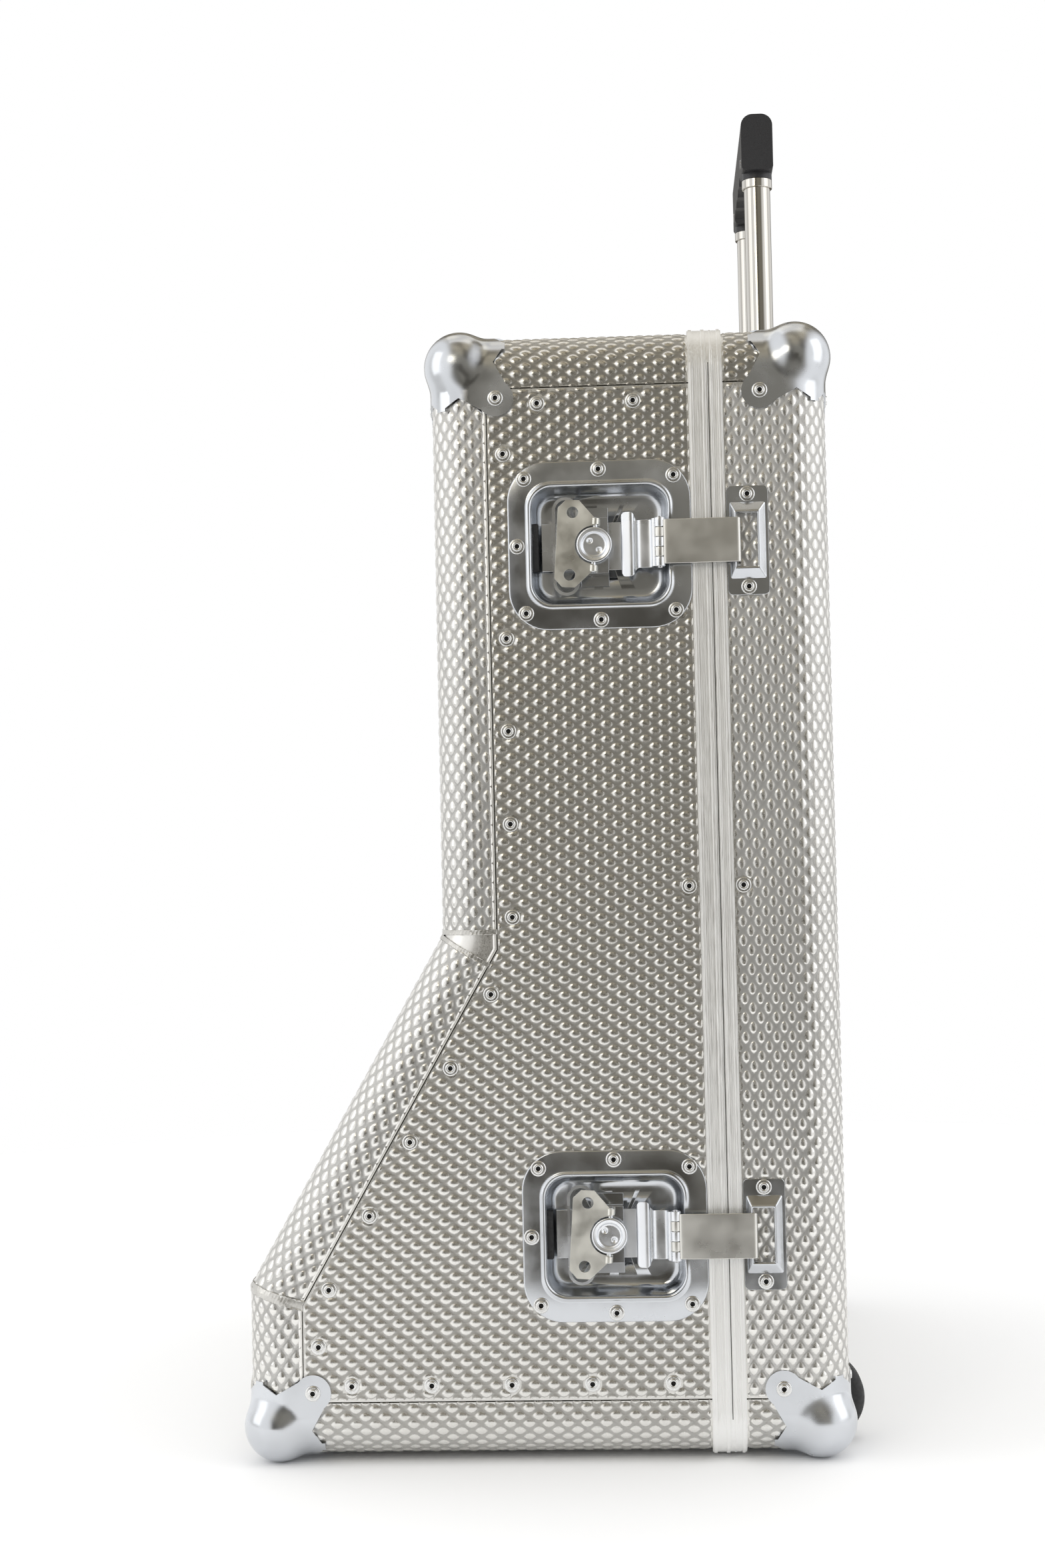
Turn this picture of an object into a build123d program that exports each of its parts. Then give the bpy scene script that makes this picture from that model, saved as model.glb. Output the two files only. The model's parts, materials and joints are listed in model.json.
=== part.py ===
from build123d import *
import os
from math import cos, radians, sin, tan

# Wedge shaped mixer flight case with a trolley handle, standing on its end as it is wheeled.
# Millimetres. +Z is up, +X points out of the shallow tray, +Y away from the latched side.

# Driving dimensions of the shell
WIDTH = 560.0            # across the case, latched side to hinged side, over the side panels
TOP_Z = 683.2            # top face
BASE_Z = 4.5             # bottom face, carried clear of the ground by the ball corners
PARTING_X = 106.3        # where tray and lid meet
TRAY_X = 177.3           # outer face of the tray
LID_TOP_X = -62.7        # outer face of the lid above the slope
LID_FOOT_X = -185.2      # outer face of the lid below the slope
SLOPE_TOP_Z = 318.0      # where the sloping panel starts
SLOPE_DEG = 30.0         # slope from the vertical
SHEET = 1.2              # aluminium sheet
EDGE_R = 25.0            # rounded edges of the shell
SEAM = 34.5              # visible band between an outer face and the edge of the side panel
FLANGE = 54.0            # full depth of a bent flange, most of it under the side panel
ORIGIN_Y = -1.4          # moves the case so that its overall box is centred on Y = 0

# Frame extrusions at the parting line
LID_VALANCE = 11.8
TRAY_VALANCE = 8.7
VALANCE_PROUD = 2.2
VALANCE_DEEP = 6.6
LID_LEG = 12.0           # inner leg of the frame, riveted under the sheet
TRAY_LEG = 10.0

# Foam lining
FOAM_WALL = 31.0         # outer face of the shell to the foam surface
FOAM_SIDE = 33.2         # outer face of a side panel to the foam surface
TRAY_FOAM_X = 133.5      # surface of the foam bed in the tray

# Latches, placed on the lid's side panel
LATCH_X = 38.8
LATCH_Z = (552.4, 136.4)
DISH = (111.2, 102.4)
DISH_R = 24.0
BASIN = (82.0, 70.0)
BASIN_R = 13.0
BASIN_DEEP = 13.0
BOSS_X = -3.4            # rotor axis, from the dish centre
WING_TILT = 4.0          # the wings rest a little off plumb
DRAW = 7.5               # pull of the latch
BARREL_X = 36.3          # strap hinge, from the dish centre

# Trolley
HANDLE_X = 149.0
HANDLE_Y = 70.0          # tubes at plus and minus this
TUBE_R = 9.0
TUBE_FOOT_Z = 470.0
GRIP_Z = (833.2, 871.6)
GRIP_HALF = 86.0
WHEEL_R = 26.0
WHEEL_W = 20.0
WHEEL_C = (163.7, 215.5, 26.6)

# Hinges on the far side
HINGE_Z = (552.4, 136.4)
HINGE_LONG = 76.0
HINGE_AXIS_Y = WIDTH / 2 + 7.0
KNUCKLE_R = 3.8

# Ball corners and rivets
BALL_R = 22.0
BALL_PROUD = 4.5
LEG = 46.0
EAR = 40.0
EAR_R = 11.0
CORNER_T = 1.5
RIVET_HEAD_R = 4.75
RIVET_R = 2.0
RIVET_HOLE_R = 2.15
RIVET_LINE = 43.8        # rivets from an outer face

HALF = WIDTH / 2
WRAP_Y = HALF - SHEET
SLOPE_FOOT_Z = SLOPE_TOP_Z - (LID_TOP_X - LID_FOOT_X) / tan(radians(SLOPE_DEG))
LID_EDGE_X = PARTING_X - LID_VALANCE
TRAY_EDGE_X = PARTING_X + TRAY_VALANCE

os.makedirs("parts", exist_ok=True)


def save(name, *solids):
    """Write one piece, or a group of like pieces, in the frame of the whole case."""
    flat = [s for shape in solids for s in shape.solids()]
    moved = [Pos(0, ORIGIN_Y, 0) * s for s in flat]
    export_step(Compound(children=moved) if len(moved) > 1 else moved[0], f"parts/{name}.step")
    print(f"{name}: {len(moved)} solid(s)")


def block(low, high):
    """A box between two corners."""
    size = [high[i] - low[i] for i in range(3)]
    return Pos(*[(high[i] + low[i]) / 2 for i in range(3)]) * Box(*size)


def rod(start, axis, radius, length):
    """A round bar from a point along an axis."""
    return extrude(Plane(origin=start, z_dir=axis) * Circle(radius), length)


# Shell profile: the lid's outline in the XZ plane, walked from the parting line over the top
CORNER_B = (LID_TOP_X, TOP_Z)
BEND_C = (LID_TOP_X, SLOPE_TOP_Z)
BEND_D = (LID_FOOT_X, SLOPE_FOOT_Z)
CORNER_E = (LID_FOOT_X, BASE_Z)
SLOPE_DIR = (-sin(radians(SLOPE_DEG)), -cos(radians(SLOPE_DEG)))
DOWN = (0.0, -1.0)
LEFT = (-1.0, 0.0)
RIGHT = (1.0, 0.0)


def run_plane(point, direction):
    """A plane across a wrap: local x along Y, local y into the case, local z along the run."""
    return Plane(origin=(point[0], 0, point[1]), x_dir=(0, 1, 0), z_dir=(direction[0], 0, direction[1]))


def inward(point, direction, depth):
    """A point moved into the case, square to a run."""
    return (point[0] - direction[1] * depth, point[1] + direction[0] * depth)


def wrap_profile(depth, grow=0.0, thick=SHEET):
    """Bent sheet seen along its run: a web with a rounded flange on each side."""
    tall = 200.0
    outer = Pos(0, tall / 2 - grow) * RectangleRounded(2 * (WRAP_Y + grow), tall, EDGE_R + grow)
    inner_y = WRAP_Y + grow - thick
    inner = Pos(0, tall / 2 + thick - grow) * RectangleRounded(2 * inner_y, tall, EDGE_R + grow - thick)
    keep = Pos(0, depth / 2 - grow) * Rectangle(2 * WIDTH, depth)
    return (outer - inner) & keep


def wrap(start, end, direction, depth=FLANGE):
    """One straight length of bent sheet."""
    length = ((end[0] - start[0]) ** 2 + (end[1] - start[1]) ** 2) ** 0.5
    return extrude(run_plane(start, direction) * wrap_profile(depth), length)


def shift(point, direction, length):
    return (point[0] + direction[0] * length, point[1] + direction[1] * length)


def rounded_corner(point, direction, turn):
    """The quarter bend across Y where two wraps meet at a square corner."""
    start = shift(point, direction, EDGE_R)
    centre = inward(start, direction, EDGE_R)
    axis = Axis((centre[0], 0, centre[1]), (0, 1, 0))
    return revolve(run_plane(start, direction) * wrap_profile(EDGE_R), axis, turn)


def outline(depth):
    """The lid's outline moved in by a depth, as XZ points from the top round to the bottom."""
    top_x = LID_TOP_X + depth
    foot_x = LID_FOOT_X + depth
    on_slope = inward(BEND_C, SLOPE_DIR, depth)
    lean = SLOPE_DIR[1] / SLOPE_DIR[0]
    bend_c = (top_x, on_slope[1] + (top_x - on_slope[0]) * lean)
    bend_d = (foot_x, on_slope[1] + (foot_x - on_slope[0]) * lean)
    return [(top_x, TOP_Z - depth), bend_c, bend_d, (foot_x, BASE_Z + depth)]


def side_plate(points, y_low, y_high):
    """A flat plate parallel to the side panels from an XZ outline."""
    face = Plane(origin=(0, y_high, 0), x_dir=(1, 0, 0), z_dir=(0, -1, 0)) * make_face(Polyline(*points, close=True))
    return extrude(face, y_high - y_low)


# Rivets: where each stands and the way it faces
def spaced(first, pitch, count):
    return [first + pitch * i for i in range(count)]


def slope_rivets():
    start = inward(BEND_C, SLOPE_DIR, RIVET_LINE)
    return [shift(start, SLOPE_DIR, s) for s in spaced(16.2, 50.8, 5)]


FRONT_RIVETS = [z for i, z in enumerate(spaced(328.3, 56.15, 6)) if i != 4]
SIDE_RIVETS = [(LID_TOP_X + RIVET_LINE, z) for z in FRONT_RIVETS]
SIDE_RIVETS += [(x, TOP_Z - RIVET_LINE) for x in (2.5, 60.7)]
SIDE_RIVETS += slope_rivets()
SIDE_RIVETS += [(LID_FOOT_X + RIVET_LINE, 72.0)]
SIDE_RIVETS += [(x, BASE_Z + RIVET_LINE) for x in spaced(-121.6, 48.3, 5)]
MID_RIVET_Z = 345.0      # the one rivet of each half beside the parting line
SIDE_RIVETS += [(88.0, MID_RIVET_Z)]
TRAY_SIDE_RIVETS = [(120.6, MID_RIVET_Z)]
DISH_RIVETS = [(sx * 45.3, sz * 40.9) for sx in (-1, 1) for sz in (-1, 1)]
DISH_RIVETS += [(0, 45.7), (0, -45.7), (-50.1, 0), (50.1, 0)]
KEEPER_RIVET_Z = 28.0


def rivet(point, outward, grip=4.5):
    """A domed blind rivet with its hollow centre, its head seated at the point."""
    seat = Plane(origin=point, z_dir=outward)
    head = Cylinder(RIVET_HEAD_R, 1.9, align=(Align.CENTER, Align.CENTER, Align.MIN))
    head = chamfer(head.edges().group_by(Axis.Z)[-1], 1.3)
    shank = Pos(0, 0, -grip / 2) * Cylinder(RIVET_R, grip)
    hollow = Pos(0, 0, 0.6) * Cylinder(1.3, 4.0, align=(Align.CENTER, Align.CENTER, Align.MIN))
    return seat.location * (head + shank - hollow)


def drill(point, outward, radius=RIVET_HOLE_R, deep=12.0):
    return rod([point[i] + outward[i] * 3 for i in range(3)], [-a for a in outward], radius, deep)


def cut_all(body, tools):
    """Remove several tools in one go."""
    return body - list(tools)


# Ball corners, built in the positive octant with the case inside it
def ball_corner():
    size = 110.0
    low = (Align.MIN, Align.MIN, Align.MIN)
    case = Box(size, size, size, align=low)
    case = fillet(case.edges().filter_by(lambda e: e.distance_to(Vertex(0, 0, 0)) < 0.01), EDGE_R)
    skin = Pos(-CORNER_T, -CORNER_T, -CORNER_T) * Box(size, size, size, align=low)
    near = Vertex(-CORNER_T, -CORNER_T, -CORNER_T)
    skin = fillet(skin.edges().filter_by(lambda e: e.distance_to(near) < 0.01), EDGE_R + CORNER_T)
    notch = (39.0, 17.5)
    lobe = (48.2, 34.0)
    points = [(-3, -3), (LEG, -3), (LEG, 6), notch, lobe, lobe[::-1], notch[::-1], (6, LEG), (-3, LEG)]
    plan = make_face(Polyline(*points, close=True)) + Pos(EAR, EAR) * Circle(EAR_R)
    reach = 9.0
    faces = [Plane.XY, Plane.YZ, Plane.ZX]
    legs = [extrude(Plane(p.origin - p.z_dir * 3, x_dir=p.x_dir, z_dir=p.z_dir) * plan, reach + 3) for p in faces]
    centre = BALL_R - BALL_PROUD
    ball = Pos(centre, centre, centre) * Sphere(BALL_R)
    core = Pos(centre, centre, centre) * Sphere(BALL_R - CORNER_T)
    plates = [(skin - case) & leg for leg in legs]
    shape = (plates[0] + plates[1] + plates[2] - core) + (ball - core - case)
    holes = [drill((EAR, EAR, -CORNER_T), (0, 0, -1)), drill((EAR, -CORNER_T, EAR), (0, -1, 0)),
             drill((-CORNER_T, EAR, EAR), (-1, 0, 0))]
    return cut_all(shape, holes)


def corner_places(x_face, x_sign):
    """Where the four corners of one half stand: the face planes and the way the case lies."""
    rows = []
    for y_sign in (1, -1):
        for z_face, z_sign in ((BASE_Z, 1), (TOP_Z, -1)):
            rows.append(((x_face(z_sign), -y_sign * HALF, z_face), (x_sign, y_sign, z_sign)))
    return rows


def place_corner(corner, place):
    (x, y, z), signs = place
    shape = corner
    for sign, plane in zip(signs, (Plane.YZ, Plane.XZ, Plane.XY)):
        if sign < 0:
            shape = mirror(shape, about=plane)
    return Pos(x, y, z) * shape


def corner_rivets(place):
    """Seats of the three ear rivets of one ball corner."""
    (x, y, z), (sx, sy, sz) = place
    t = CORNER_T
    return [((x + sx * EAR, y - sy * t, z + sz * EAR), (0, -sy, 0)),
            ((x - sx * t, y + sy * EAR, z + sz * EAR), (-sx, 0, 0)),
            ((x + sx * EAR, y + sy * EAR, z - sz * t), (0, 0, -sz))]


LID_CORNERS = corner_places(lambda z_sign: LID_FOOT_X if z_sign > 0 else LID_TOP_X, 1)
TRAY_CORNERS = corner_places(lambda z_sign: TRAY_X, -1)


# Seats of every rivet, as point and outward direction
def side_seats(places, surface=HALF):
    return [((x, sy * surface, z), (0, sy, 0)) for x, z in places for sy in (-1, 1)]


LID_SEATS = side_seats(SIDE_RIVETS)
LID_CORNER_SEATS = [seat for place in LID_CORNERS for seat in corner_rivets(place)]
TRAY_SEATS = side_seats(TRAY_SIDE_RIVETS)
TRAY_CORNER_SEATS = [seat for place in TRAY_CORNERS for seat in corner_rivets(place)]
DISH_SEATS = [((LATCH_X + x, -HALF - SHEET, cz + z), (0, -1, 0)) for cz in LATCH_Z for x, z in DISH_RIVETS]
KEEPER_X = 128.2
KEEPER_SEATS = [((KEEPER_X, -HALF - 1.5, cz + s * KEEPER_RIVET_Z), (0, -1, 0)) for cz in LATCH_Z for s in (-1, 1)]
LID_FOOT_ROWS = (20.0, 34.0)     # hinge rivets from the hinge axis
TRAY_FOOT_ROWS = (16.8, 31.0)


def hinge_seats(side):
    seats = []
    for cz in HINGE_Z:
        for dx in LID_FOOT_ROWS if side < 0 else TRAY_FOOT_ROWS:
            for dz in (-26.0, 26.0):
                seats.append(((PARTING_X + side * dx, HALF + 1.6, cz + dz), (0, 1, 0)))
    return seats


LID_DRILLS = [drill(*seat) for seat in LID_SEATS + LID_CORNER_SEATS + DISH_SEATS + hinge_seats(-1)]
TRAY_DRILLS = [drill(*seat) for seat in TRAY_SEATS + TRAY_CORNER_SEATS + KEEPER_SEATS + hinge_seats(1)]


# Lid shell
def lid_sheets():
    """The bent sheets of the lid, butt welded where the front changes direction."""
    top_start = (LID_EDGE_X, TOP_Z)
    top_end = (LID_TOP_X + EDGE_R, TOP_Z)
    top = wrap(top_start, top_end, LEFT)
    front = wrap(shift(CORNER_B, DOWN, EDGE_R), BEND_C, DOWN) + rounded_corner(CORNER_B, DOWN, 90)
    front -= block((LID_TOP_X + EDGE_R, -WIDTH, TOP_Z - FLANGE), (LID_TOP_X + 2 * FLANGE, WIDTH, TOP_Z))
    slope_end = shift(BEND_D, SLOPE_DIR, 40)
    slope = wrap(BEND_C, slope_end, SLOPE_DIR)
    fan_axis = Axis((BEND_C[0], 0, BEND_C[1]), (0, 1, 0))
    fan = revolve(run_plane(BEND_C, SLOPE_DIR) * wrap_profile(FLANGE), fan_axis, -SLOPE_DEG)
    half_turn = radians(SLOPE_DEG / 2)
    mitre = Plane(origin=(BEND_D[0], 0, BEND_D[1]), z_dir=(sin(half_turn), 0, cos(half_turn)))
    slope = split(slope + fan, bisect_by=mitre, keep=Keep.TOP)
    foot = wrap(shift(BEND_D, DOWN, -40), shift(CORNER_E, DOWN, -EDGE_R), DOWN)
    foot = split(foot, bisect_by=mitre, keep=Keep.BOTTOM)
    foot += rounded_corner(CORNER_E, RIGHT, 90)
    foot -= block((LID_FOOT_X + EDGE_R, -WIDTH, BASE_Z), (LID_FOOT_X + 2 * FLANGE, WIDTH, BASE_Z + FLANGE))
    bottom = wrap((LID_FOOT_X + EDGE_R, BASE_Z), (LID_EDGE_X, BASE_Z), RIGHT)
    return {"lid_top_sheet": top, "lid_front_sheet": front, "lid_slope_sheet": slope,
            "lid_foot_sheet": foot, "lid_bottom_sheet": bottom}


def weld_beads():
    """Raised weld seams across the two bends, on the sheets' outside."""
    wide = 3.2
    profile = wrap_profile(SEAM + 1.2, grow=1.2, thick=1.2)
    upper = extrude(run_plane(shift(BEND_C, DOWN, -wide), DOWN) * profile, wide)
    slope = extrude(run_plane(BEND_C, SLOPE_DIR) * profile, wide)
    half_turn = radians(SLOPE_DEG / 2)
    normal = (sin(half_turn), 0, cos(half_turn))
    mitre = Plane(origin=(BEND_D[0], 0, BEND_D[1]), z_dir=normal)
    over = Plane(origin=(BEND_D[0] + normal[0] * wide, 0, BEND_D[1] + normal[2] * wide), z_dir=normal)
    under = Plane(origin=(BEND_D[0] - normal[0] * wide, 0, BEND_D[1] - normal[2] * wide), z_dir=normal)
    above = extrude(run_plane(shift(BEND_D, SLOPE_DIR, -30), SLOPE_DIR) * profile, 60)
    above = split(split(above, bisect_by=mitre, keep=Keep.TOP), bisect_by=over, keep=Keep.BOTTOM)
    below = extrude(run_plane(shift(BEND_D, DOWN, -30), DOWN) * profile, 60)
    below = split(split(below, bisect_by=mitre, keep=Keep.BOTTOM), bisect_by=under, keep=Keep.TOP)
    return upper + slope, above + below


# Lid side panels, with the latch pockets cut through the latched one
def rounded_block(size, radius, low_y, high_y, centre):
    """A rounded rectangle in the XZ plane, extruded from low_y to high_y."""
    face = Plane(origin=(centre[0], high_y, centre[1]), x_dir=(1, 0, 0), z_dir=(0, -1, 0))
    return extrude(face * RectangleRounded(size[0], size[1], radius), high_y - low_y)


def pocket(clear, low_y, high_y, cz):
    size = (BASIN[0] + 2 * clear, BASIN[1] + 2 * clear)
    return rounded_block(size, BASIN_R + clear, low_y, high_y, (LATCH_X, cz))


def lid_side_panel():
    points = [(LID_EDGE_X, TOP_Z - SEAM)] + outline(SEAM) + [(LID_EDGE_X, BASE_Z + SEAM)]
    return side_plate(points, WRAP_Y, HALF)


def lid_sides():
    hinged = lid_side_panel()
    latched = mirror(hinged, about=Plane.XZ)
    latched -= [pocket(2.4, -HALF - 5, -HALF + 5, cz) for cz in LATCH_Z]
    return latched, hinged


# Tray shell
def cap_block(inset, z_face, z_sign):
    """The rounded end of the tray as a solid, set in from the outside of its sheet."""
    face_x, side_y, end_z = TRAY_X - SHEET - inset, WRAP_Y - inset, z_face + z_sign * inset
    low, high = sorted((end_z, end_z + z_sign * 160.0))
    solid = block((TRAY_EDGE_X - 30, -side_y, low), (face_x, side_y, high))

    def is_round(edge):
        c = edge.center()
        return sum((abs(c.X - face_x) < 0.01, abs(abs(c.Y) - side_y) < 0.01, abs(c.Z - end_z) < 0.01)) == 2
    return fillet([e for e in solid.edges() if is_round(e)], EDGE_R - inset)


def tray_cap(z_face, z_sign):
    """Rounded end of the tray, its flanges running under the tray's face sheet."""
    deep = SEAM + 20.0
    low, high = sorted((z_face, z_face + z_sign * deep))
    shell = cap_block(0, z_face, z_sign) - cap_block(SHEET, z_face, z_sign)
    return shell & block((TRAY_EDGE_X, -WIDTH, low), (TRAY_X, WIDTH, high))


def tray_face():
    """One sheet bent round the tray's face and both its sides."""
    tall = 400.0
    outer_r = EDGE_R + SHEET
    outer = Pos(TRAY_X - tall / 2, 0) * RectangleRounded(tall, WIDTH, outer_r)
    inner = Pos(TRAY_X - SHEET - tall / 2, 0) * RectangleRounded(tall, 2 * WRAP_Y, EDGE_R)
    keep = Pos((TRAY_EDGE_X + TRAY_X) / 2, 0) * Rectangle(TRAY_X - TRAY_EDGE_X, WIDTH)
    face = (outer - inner) & keep
    return Pos(0, 0, BASE_Z + SEAM) * extrude(face, TOP_Z - BASE_Z - 2 * SEAM)


WHEEL_PIT_HALF = 13.0


def wheel_pits(grow=0.0):
    """The openings that let the wheels out through the lower edge of the tray."""
    x, y, z = WHEEL_C
    half = WHEEL_PIT_HALF + grow
    return [block((x - 29.5 - grow, sy * y - half, -20), (TRAY_X + 20, sy * y + half, z + 31.0 + grow))
            for sy in (-1, 1)]


# Parting line frames
def ring(x_low, x_high, grow, thick):
    """A rounded rectangular frame round the case at the parting line."""
    plane = Plane(origin=(x_low, 0, (TOP_Z + BASE_Z) / 2), x_dir=(0, 1, 0), z_dir=(1, 0, 0))
    wide = 2 * (HALF + grow)
    tall = TOP_Z - BASE_Z + 2 * grow
    outer = RectangleRounded(wide, tall, EDGE_R + grow)
    inner = RectangleRounded(wide - 2 * thick, tall - 2 * thick, EDGE_R + grow - thick)
    return extrude(plane * (outer - inner), x_high - x_low)


TONGUE = 2.0
TONGUE_IN = 2.4          # outer surface of the tongue, in from the frame's outside


def valances():
    deep = VALANCE_DEEP
    proud = VALANCE_PROUD
    lid = ring(LID_EDGE_X, PARTING_X, proud, deep)
    lid += ring(LID_EDGE_X - LID_LEG, LID_EDGE_X, -SHEET * 2, 2.0)
    lid += ring(PARTING_X, PARTING_X + TONGUE, proud - TONGUE_IN, 1.8)
    tray = ring(PARTING_X, TRAY_EDGE_X, proud, deep)
    tray -= ring(PARTING_X, PARTING_X + TONGUE + 0.4, proud - TONGUE_IN + 0.5, 2.8)
    tray += ring(TRAY_EDGE_X, TRAY_EDGE_X + TRAY_LEG, -SHEET * 2, 2.0)
    bead_at = ((LID_EDGE_X + 0.8, LID_EDGE_X + 2.8), (PARTING_X - 3.4, PARTING_X - 1.4))
    for low, high in bead_at:
        lid += ring(low, high, proud + 0.7, 1.2)
    tray += ring(TRAY_EDGE_X - 2.6, TRAY_EDGE_X - 0.8, proud + 0.7, 1.2)
    return lid, tray


LID_VALANCE_RING, TRAY_VALANCE_RING = valances()
SHEETS = lid_sheets()
for sheet_name, sheet in SHEETS.items():
    save(sheet_name, cut_all(sheet, LID_DRILLS))
save("lid_weld_beads", *weld_beads())
latched_side, hinged_side = lid_sides()
save("lid_latched_side", cut_all(latched_side, LID_DRILLS))
save("lid_hinged_side", cut_all(hinged_side, LID_DRILLS))
save("lid_valance", cut_all(LID_VALANCE_RING, LID_DRILLS))
save("tray_valance", cut_all(TRAY_VALANCE_RING, TRAY_DRILLS))
PITS = wheel_pits()
HANDLE_HOLES = [rod((HANDLE_X, s * HANDLE_Y, TOP_Z - 40), (0, 0, 1), 11.1, 60) for s in (-1, 1)]
save("tray_face_sheet", cut_all(tray_face(), TRAY_DRILLS + PITS))
save("tray_top_sheet", cut_all(tray_cap(TOP_Z, -1), TRAY_DRILLS + HANDLE_HOLES))
save("tray_bottom_sheet", cut_all(tray_cap(BASE_Z, 1), TRAY_DRILLS + PITS))
CORNER = ball_corner()
save("lid_ball_corners", *[place_corner(CORNER, p) for p in LID_CORNERS])
save("tray_ball_corners", *[place_corner(CORNER, p) for p in TRAY_CORNERS])
HINGE_GRIP = 6.0
save("lid_rivets", *[rivet(*seat) for seat in LID_SEATS + LID_CORNER_SEATS + DISH_SEATS],
     *[rivet(*seat, grip=HINGE_GRIP) for seat in hinge_seats(-1)])
save("tray_rivets", *[rivet(*seat) for seat in TRAY_SEATS + TRAY_CORNER_SEATS + KEEPER_SEATS],
     *[rivet(*seat, grip=HINGE_GRIP) for seat in hinge_seats(1)])


# Latches: depths are measured inward from the side panel, places from the dish centre
SKIN_Y = -HALF
STRAP_HALF = 13.4
KNUCKLES = 5
BARREL_R = 3.2
BARREL_HALF = 14.9
BARREL_D = -4.8
PIN_R = 1.6
RUN_FIT = 0.05
WING_AXIS_D = 0.9
LIP_IN = 21.6            # the dish's raised lip is this much smaller than its flange
LIP_PROUD = 1.1
BARREL_GAP = (36.0, 50.0, 16.4)      # where the lip is pressed flat: start, end and half height
BRIDGE = (8.6, 15.4, 17.0, 24.0)     # half width, legs' inner and outer faces, end of the feet
BRIDGE_TOP_D = 4.5
PLATE_T = 1.5            # bracket and keeper plate
SCOOP = (16.0, 60.0)     # oval ring in the basin
SCOOP_X = -20.6
SCOOP_WIRE = 1.8
SCOOP_D = (4.0, 5.6)
PAD = (-40.8, -37.3, 5.0, 14.5)      # stop pad: start, end, top and half height
BOSS_R = 10.8
BOSS_D = (-1.6, 1.8)
BOSS_FLOOR = (7.4, -0.2)             # radius and depth of the boss's floor
DIMPLE_R = 2.0
DIMPLES = ((-3.0, 2.6), (3.0, -2.6))
STEM_R = 6.0
STEM_END_D = 6.8
CRANK_DISC = (7.5, 6.4, 8.4)         # radius, top and underside
CRANK_PIN = (2.0, 8.4, 11.4)
BAR_R = 1.5              # the wing's cross bar
BAR_HALF = 16.6
BAR_ROOT = 8.0           # the bar starts inside the boss
WING_OUTLINE = ((-23.0, -21.6), (-23.0, 21.6), (-18.2, 26.5), (-10.4, 26.5), (0.2, 15.6), (0.2, -15.6),
                (-10.4, -26.5), (-18.2, -26.5))
WING_D = (-1.1, 0.5)
WING_CLEAR_R = 11.7      # cut-out round the boss
WING_HOLE = (-14.0, 19.0, 3.5)       # across, up and radius
WING_EYE = (2.6, 12.4, 16.2)         # radius, start and end
PULL_T = (1.6, 1.4)      # the pull plate, and its raised end
PULL_D = 9.0
PULL_START = -35.4
PULL_HALF = 14.6
CRANK_SLOT = (3.0, 6.8)
FLANGE_X = (14.0, 23.5)  # the finger flange
FLANGE_D = 1.0
FLANGE_HALF = 19.6
RISER_X = 31.2
RISER_D = -5.6
KNUCKLE_GAP = 0.12
KNUCKLE_CLEAR = 3.7
KNUCKLE_CUT_D = -9.0


def at(cz, x, d, z):
    """A point on a latch: across, inward and up from its dish centre."""
    return (LATCH_X + x, SKIN_Y + d, cz + z)


def latch_block(cz, low, high):
    return block(at(cz, *low), at(cz, *high))


def dish(cz):
    """Pressed steel dish: a flange on the panel, a raised lip and the basin."""
    centre = (LATCH_X, cz)
    lip = (DISH[0] - LIP_IN, DISH[1] - LIP_IN)
    body = rounded_block(DISH, DISH_R, SKIN_Y - SHEET, SKIN_Y, centre)
    raised = rounded_block(lip, DISH_R - 7, SKIN_Y - SHEET - LIP_PROUD, SKIN_Y - SHEET, centre)
    body += chamfer(raised.edges().group_by(Axis.Y)[0], 1.0)
    body += pocket(SHEET, SKIN_Y - SHEET, SKIN_Y + BASIN_DEEP + SHEET, cz)
    body -= pocket(0, SKIN_Y - 5, SKIN_Y + BASIN_DEEP, cz)
    start, end, half = BARREL_GAP
    return body - latch_block(cz, (start, -4.0, -half), (end, -SHEET, half))


def bracket(cz):
    """Bridge riveted in the basin: it carries the rotor and guides the pull plate."""
    floor, top = BASIN_DEEP, BRIDGE_TOP_D
    half, leg_in, leg_out, foot_end = BRIDGE
    x_low, x_high = BOSS_X - half, BOSS_X + half
    body = latch_block(cz, (x_low, top, -leg_out), (x_high, top + PLATE_T, leg_out))
    for s in (-1, 1):
        for end, depth in ((leg_out, top), (foot_end, floor - PLATE_T)):
            low, high = sorted((s * leg_in, s * end))
            body += latch_block(cz, (x_low, depth, low), (x_high, floor, high))
    return body - rod(at(cz, BOSS_X, 0, 0), (0, 1, 0), STEM_R + RUN_FIT, BASIN_DEEP)


def finger_scoop(cz):
    """Oval ring standing in the basin beside the wing's free edge."""
    centre = (LATCH_X + SCOOP_X, cz)
    wide, tall = SCOOP
    top, under = SCOOP_D
    hole = (wide - 2 * SCOOP_WIRE, tall - 2 * SCOOP_WIRE)
    outer = rounded_block(SCOOP, wide / 2 - 0.01, SKIN_Y + top, SKIN_Y + under, centre)
    inner = rounded_block(hole, hole[0] / 2 - 0.01, SKIN_Y + top - 1, SKIN_Y + under + 1, centre)
    leg_x = SCOOP_X - wide / 2 + 0.2
    legs = [latch_block(cz, (leg_x, under - 0.2, s * 20 - 4), (leg_x + PLATE_T, BASIN_DEEP, s * 20 + 4))
            for s in (-1, 1)]
    return outer - inner + legs


def stop_pad(cz):
    """Rubber buffer at the end of the basin, which quiets the pull plate."""
    start, end, top, half = PAD
    return latch_block(cz, (start, top, -half), (end, BASIN_DEEP, half))


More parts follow.
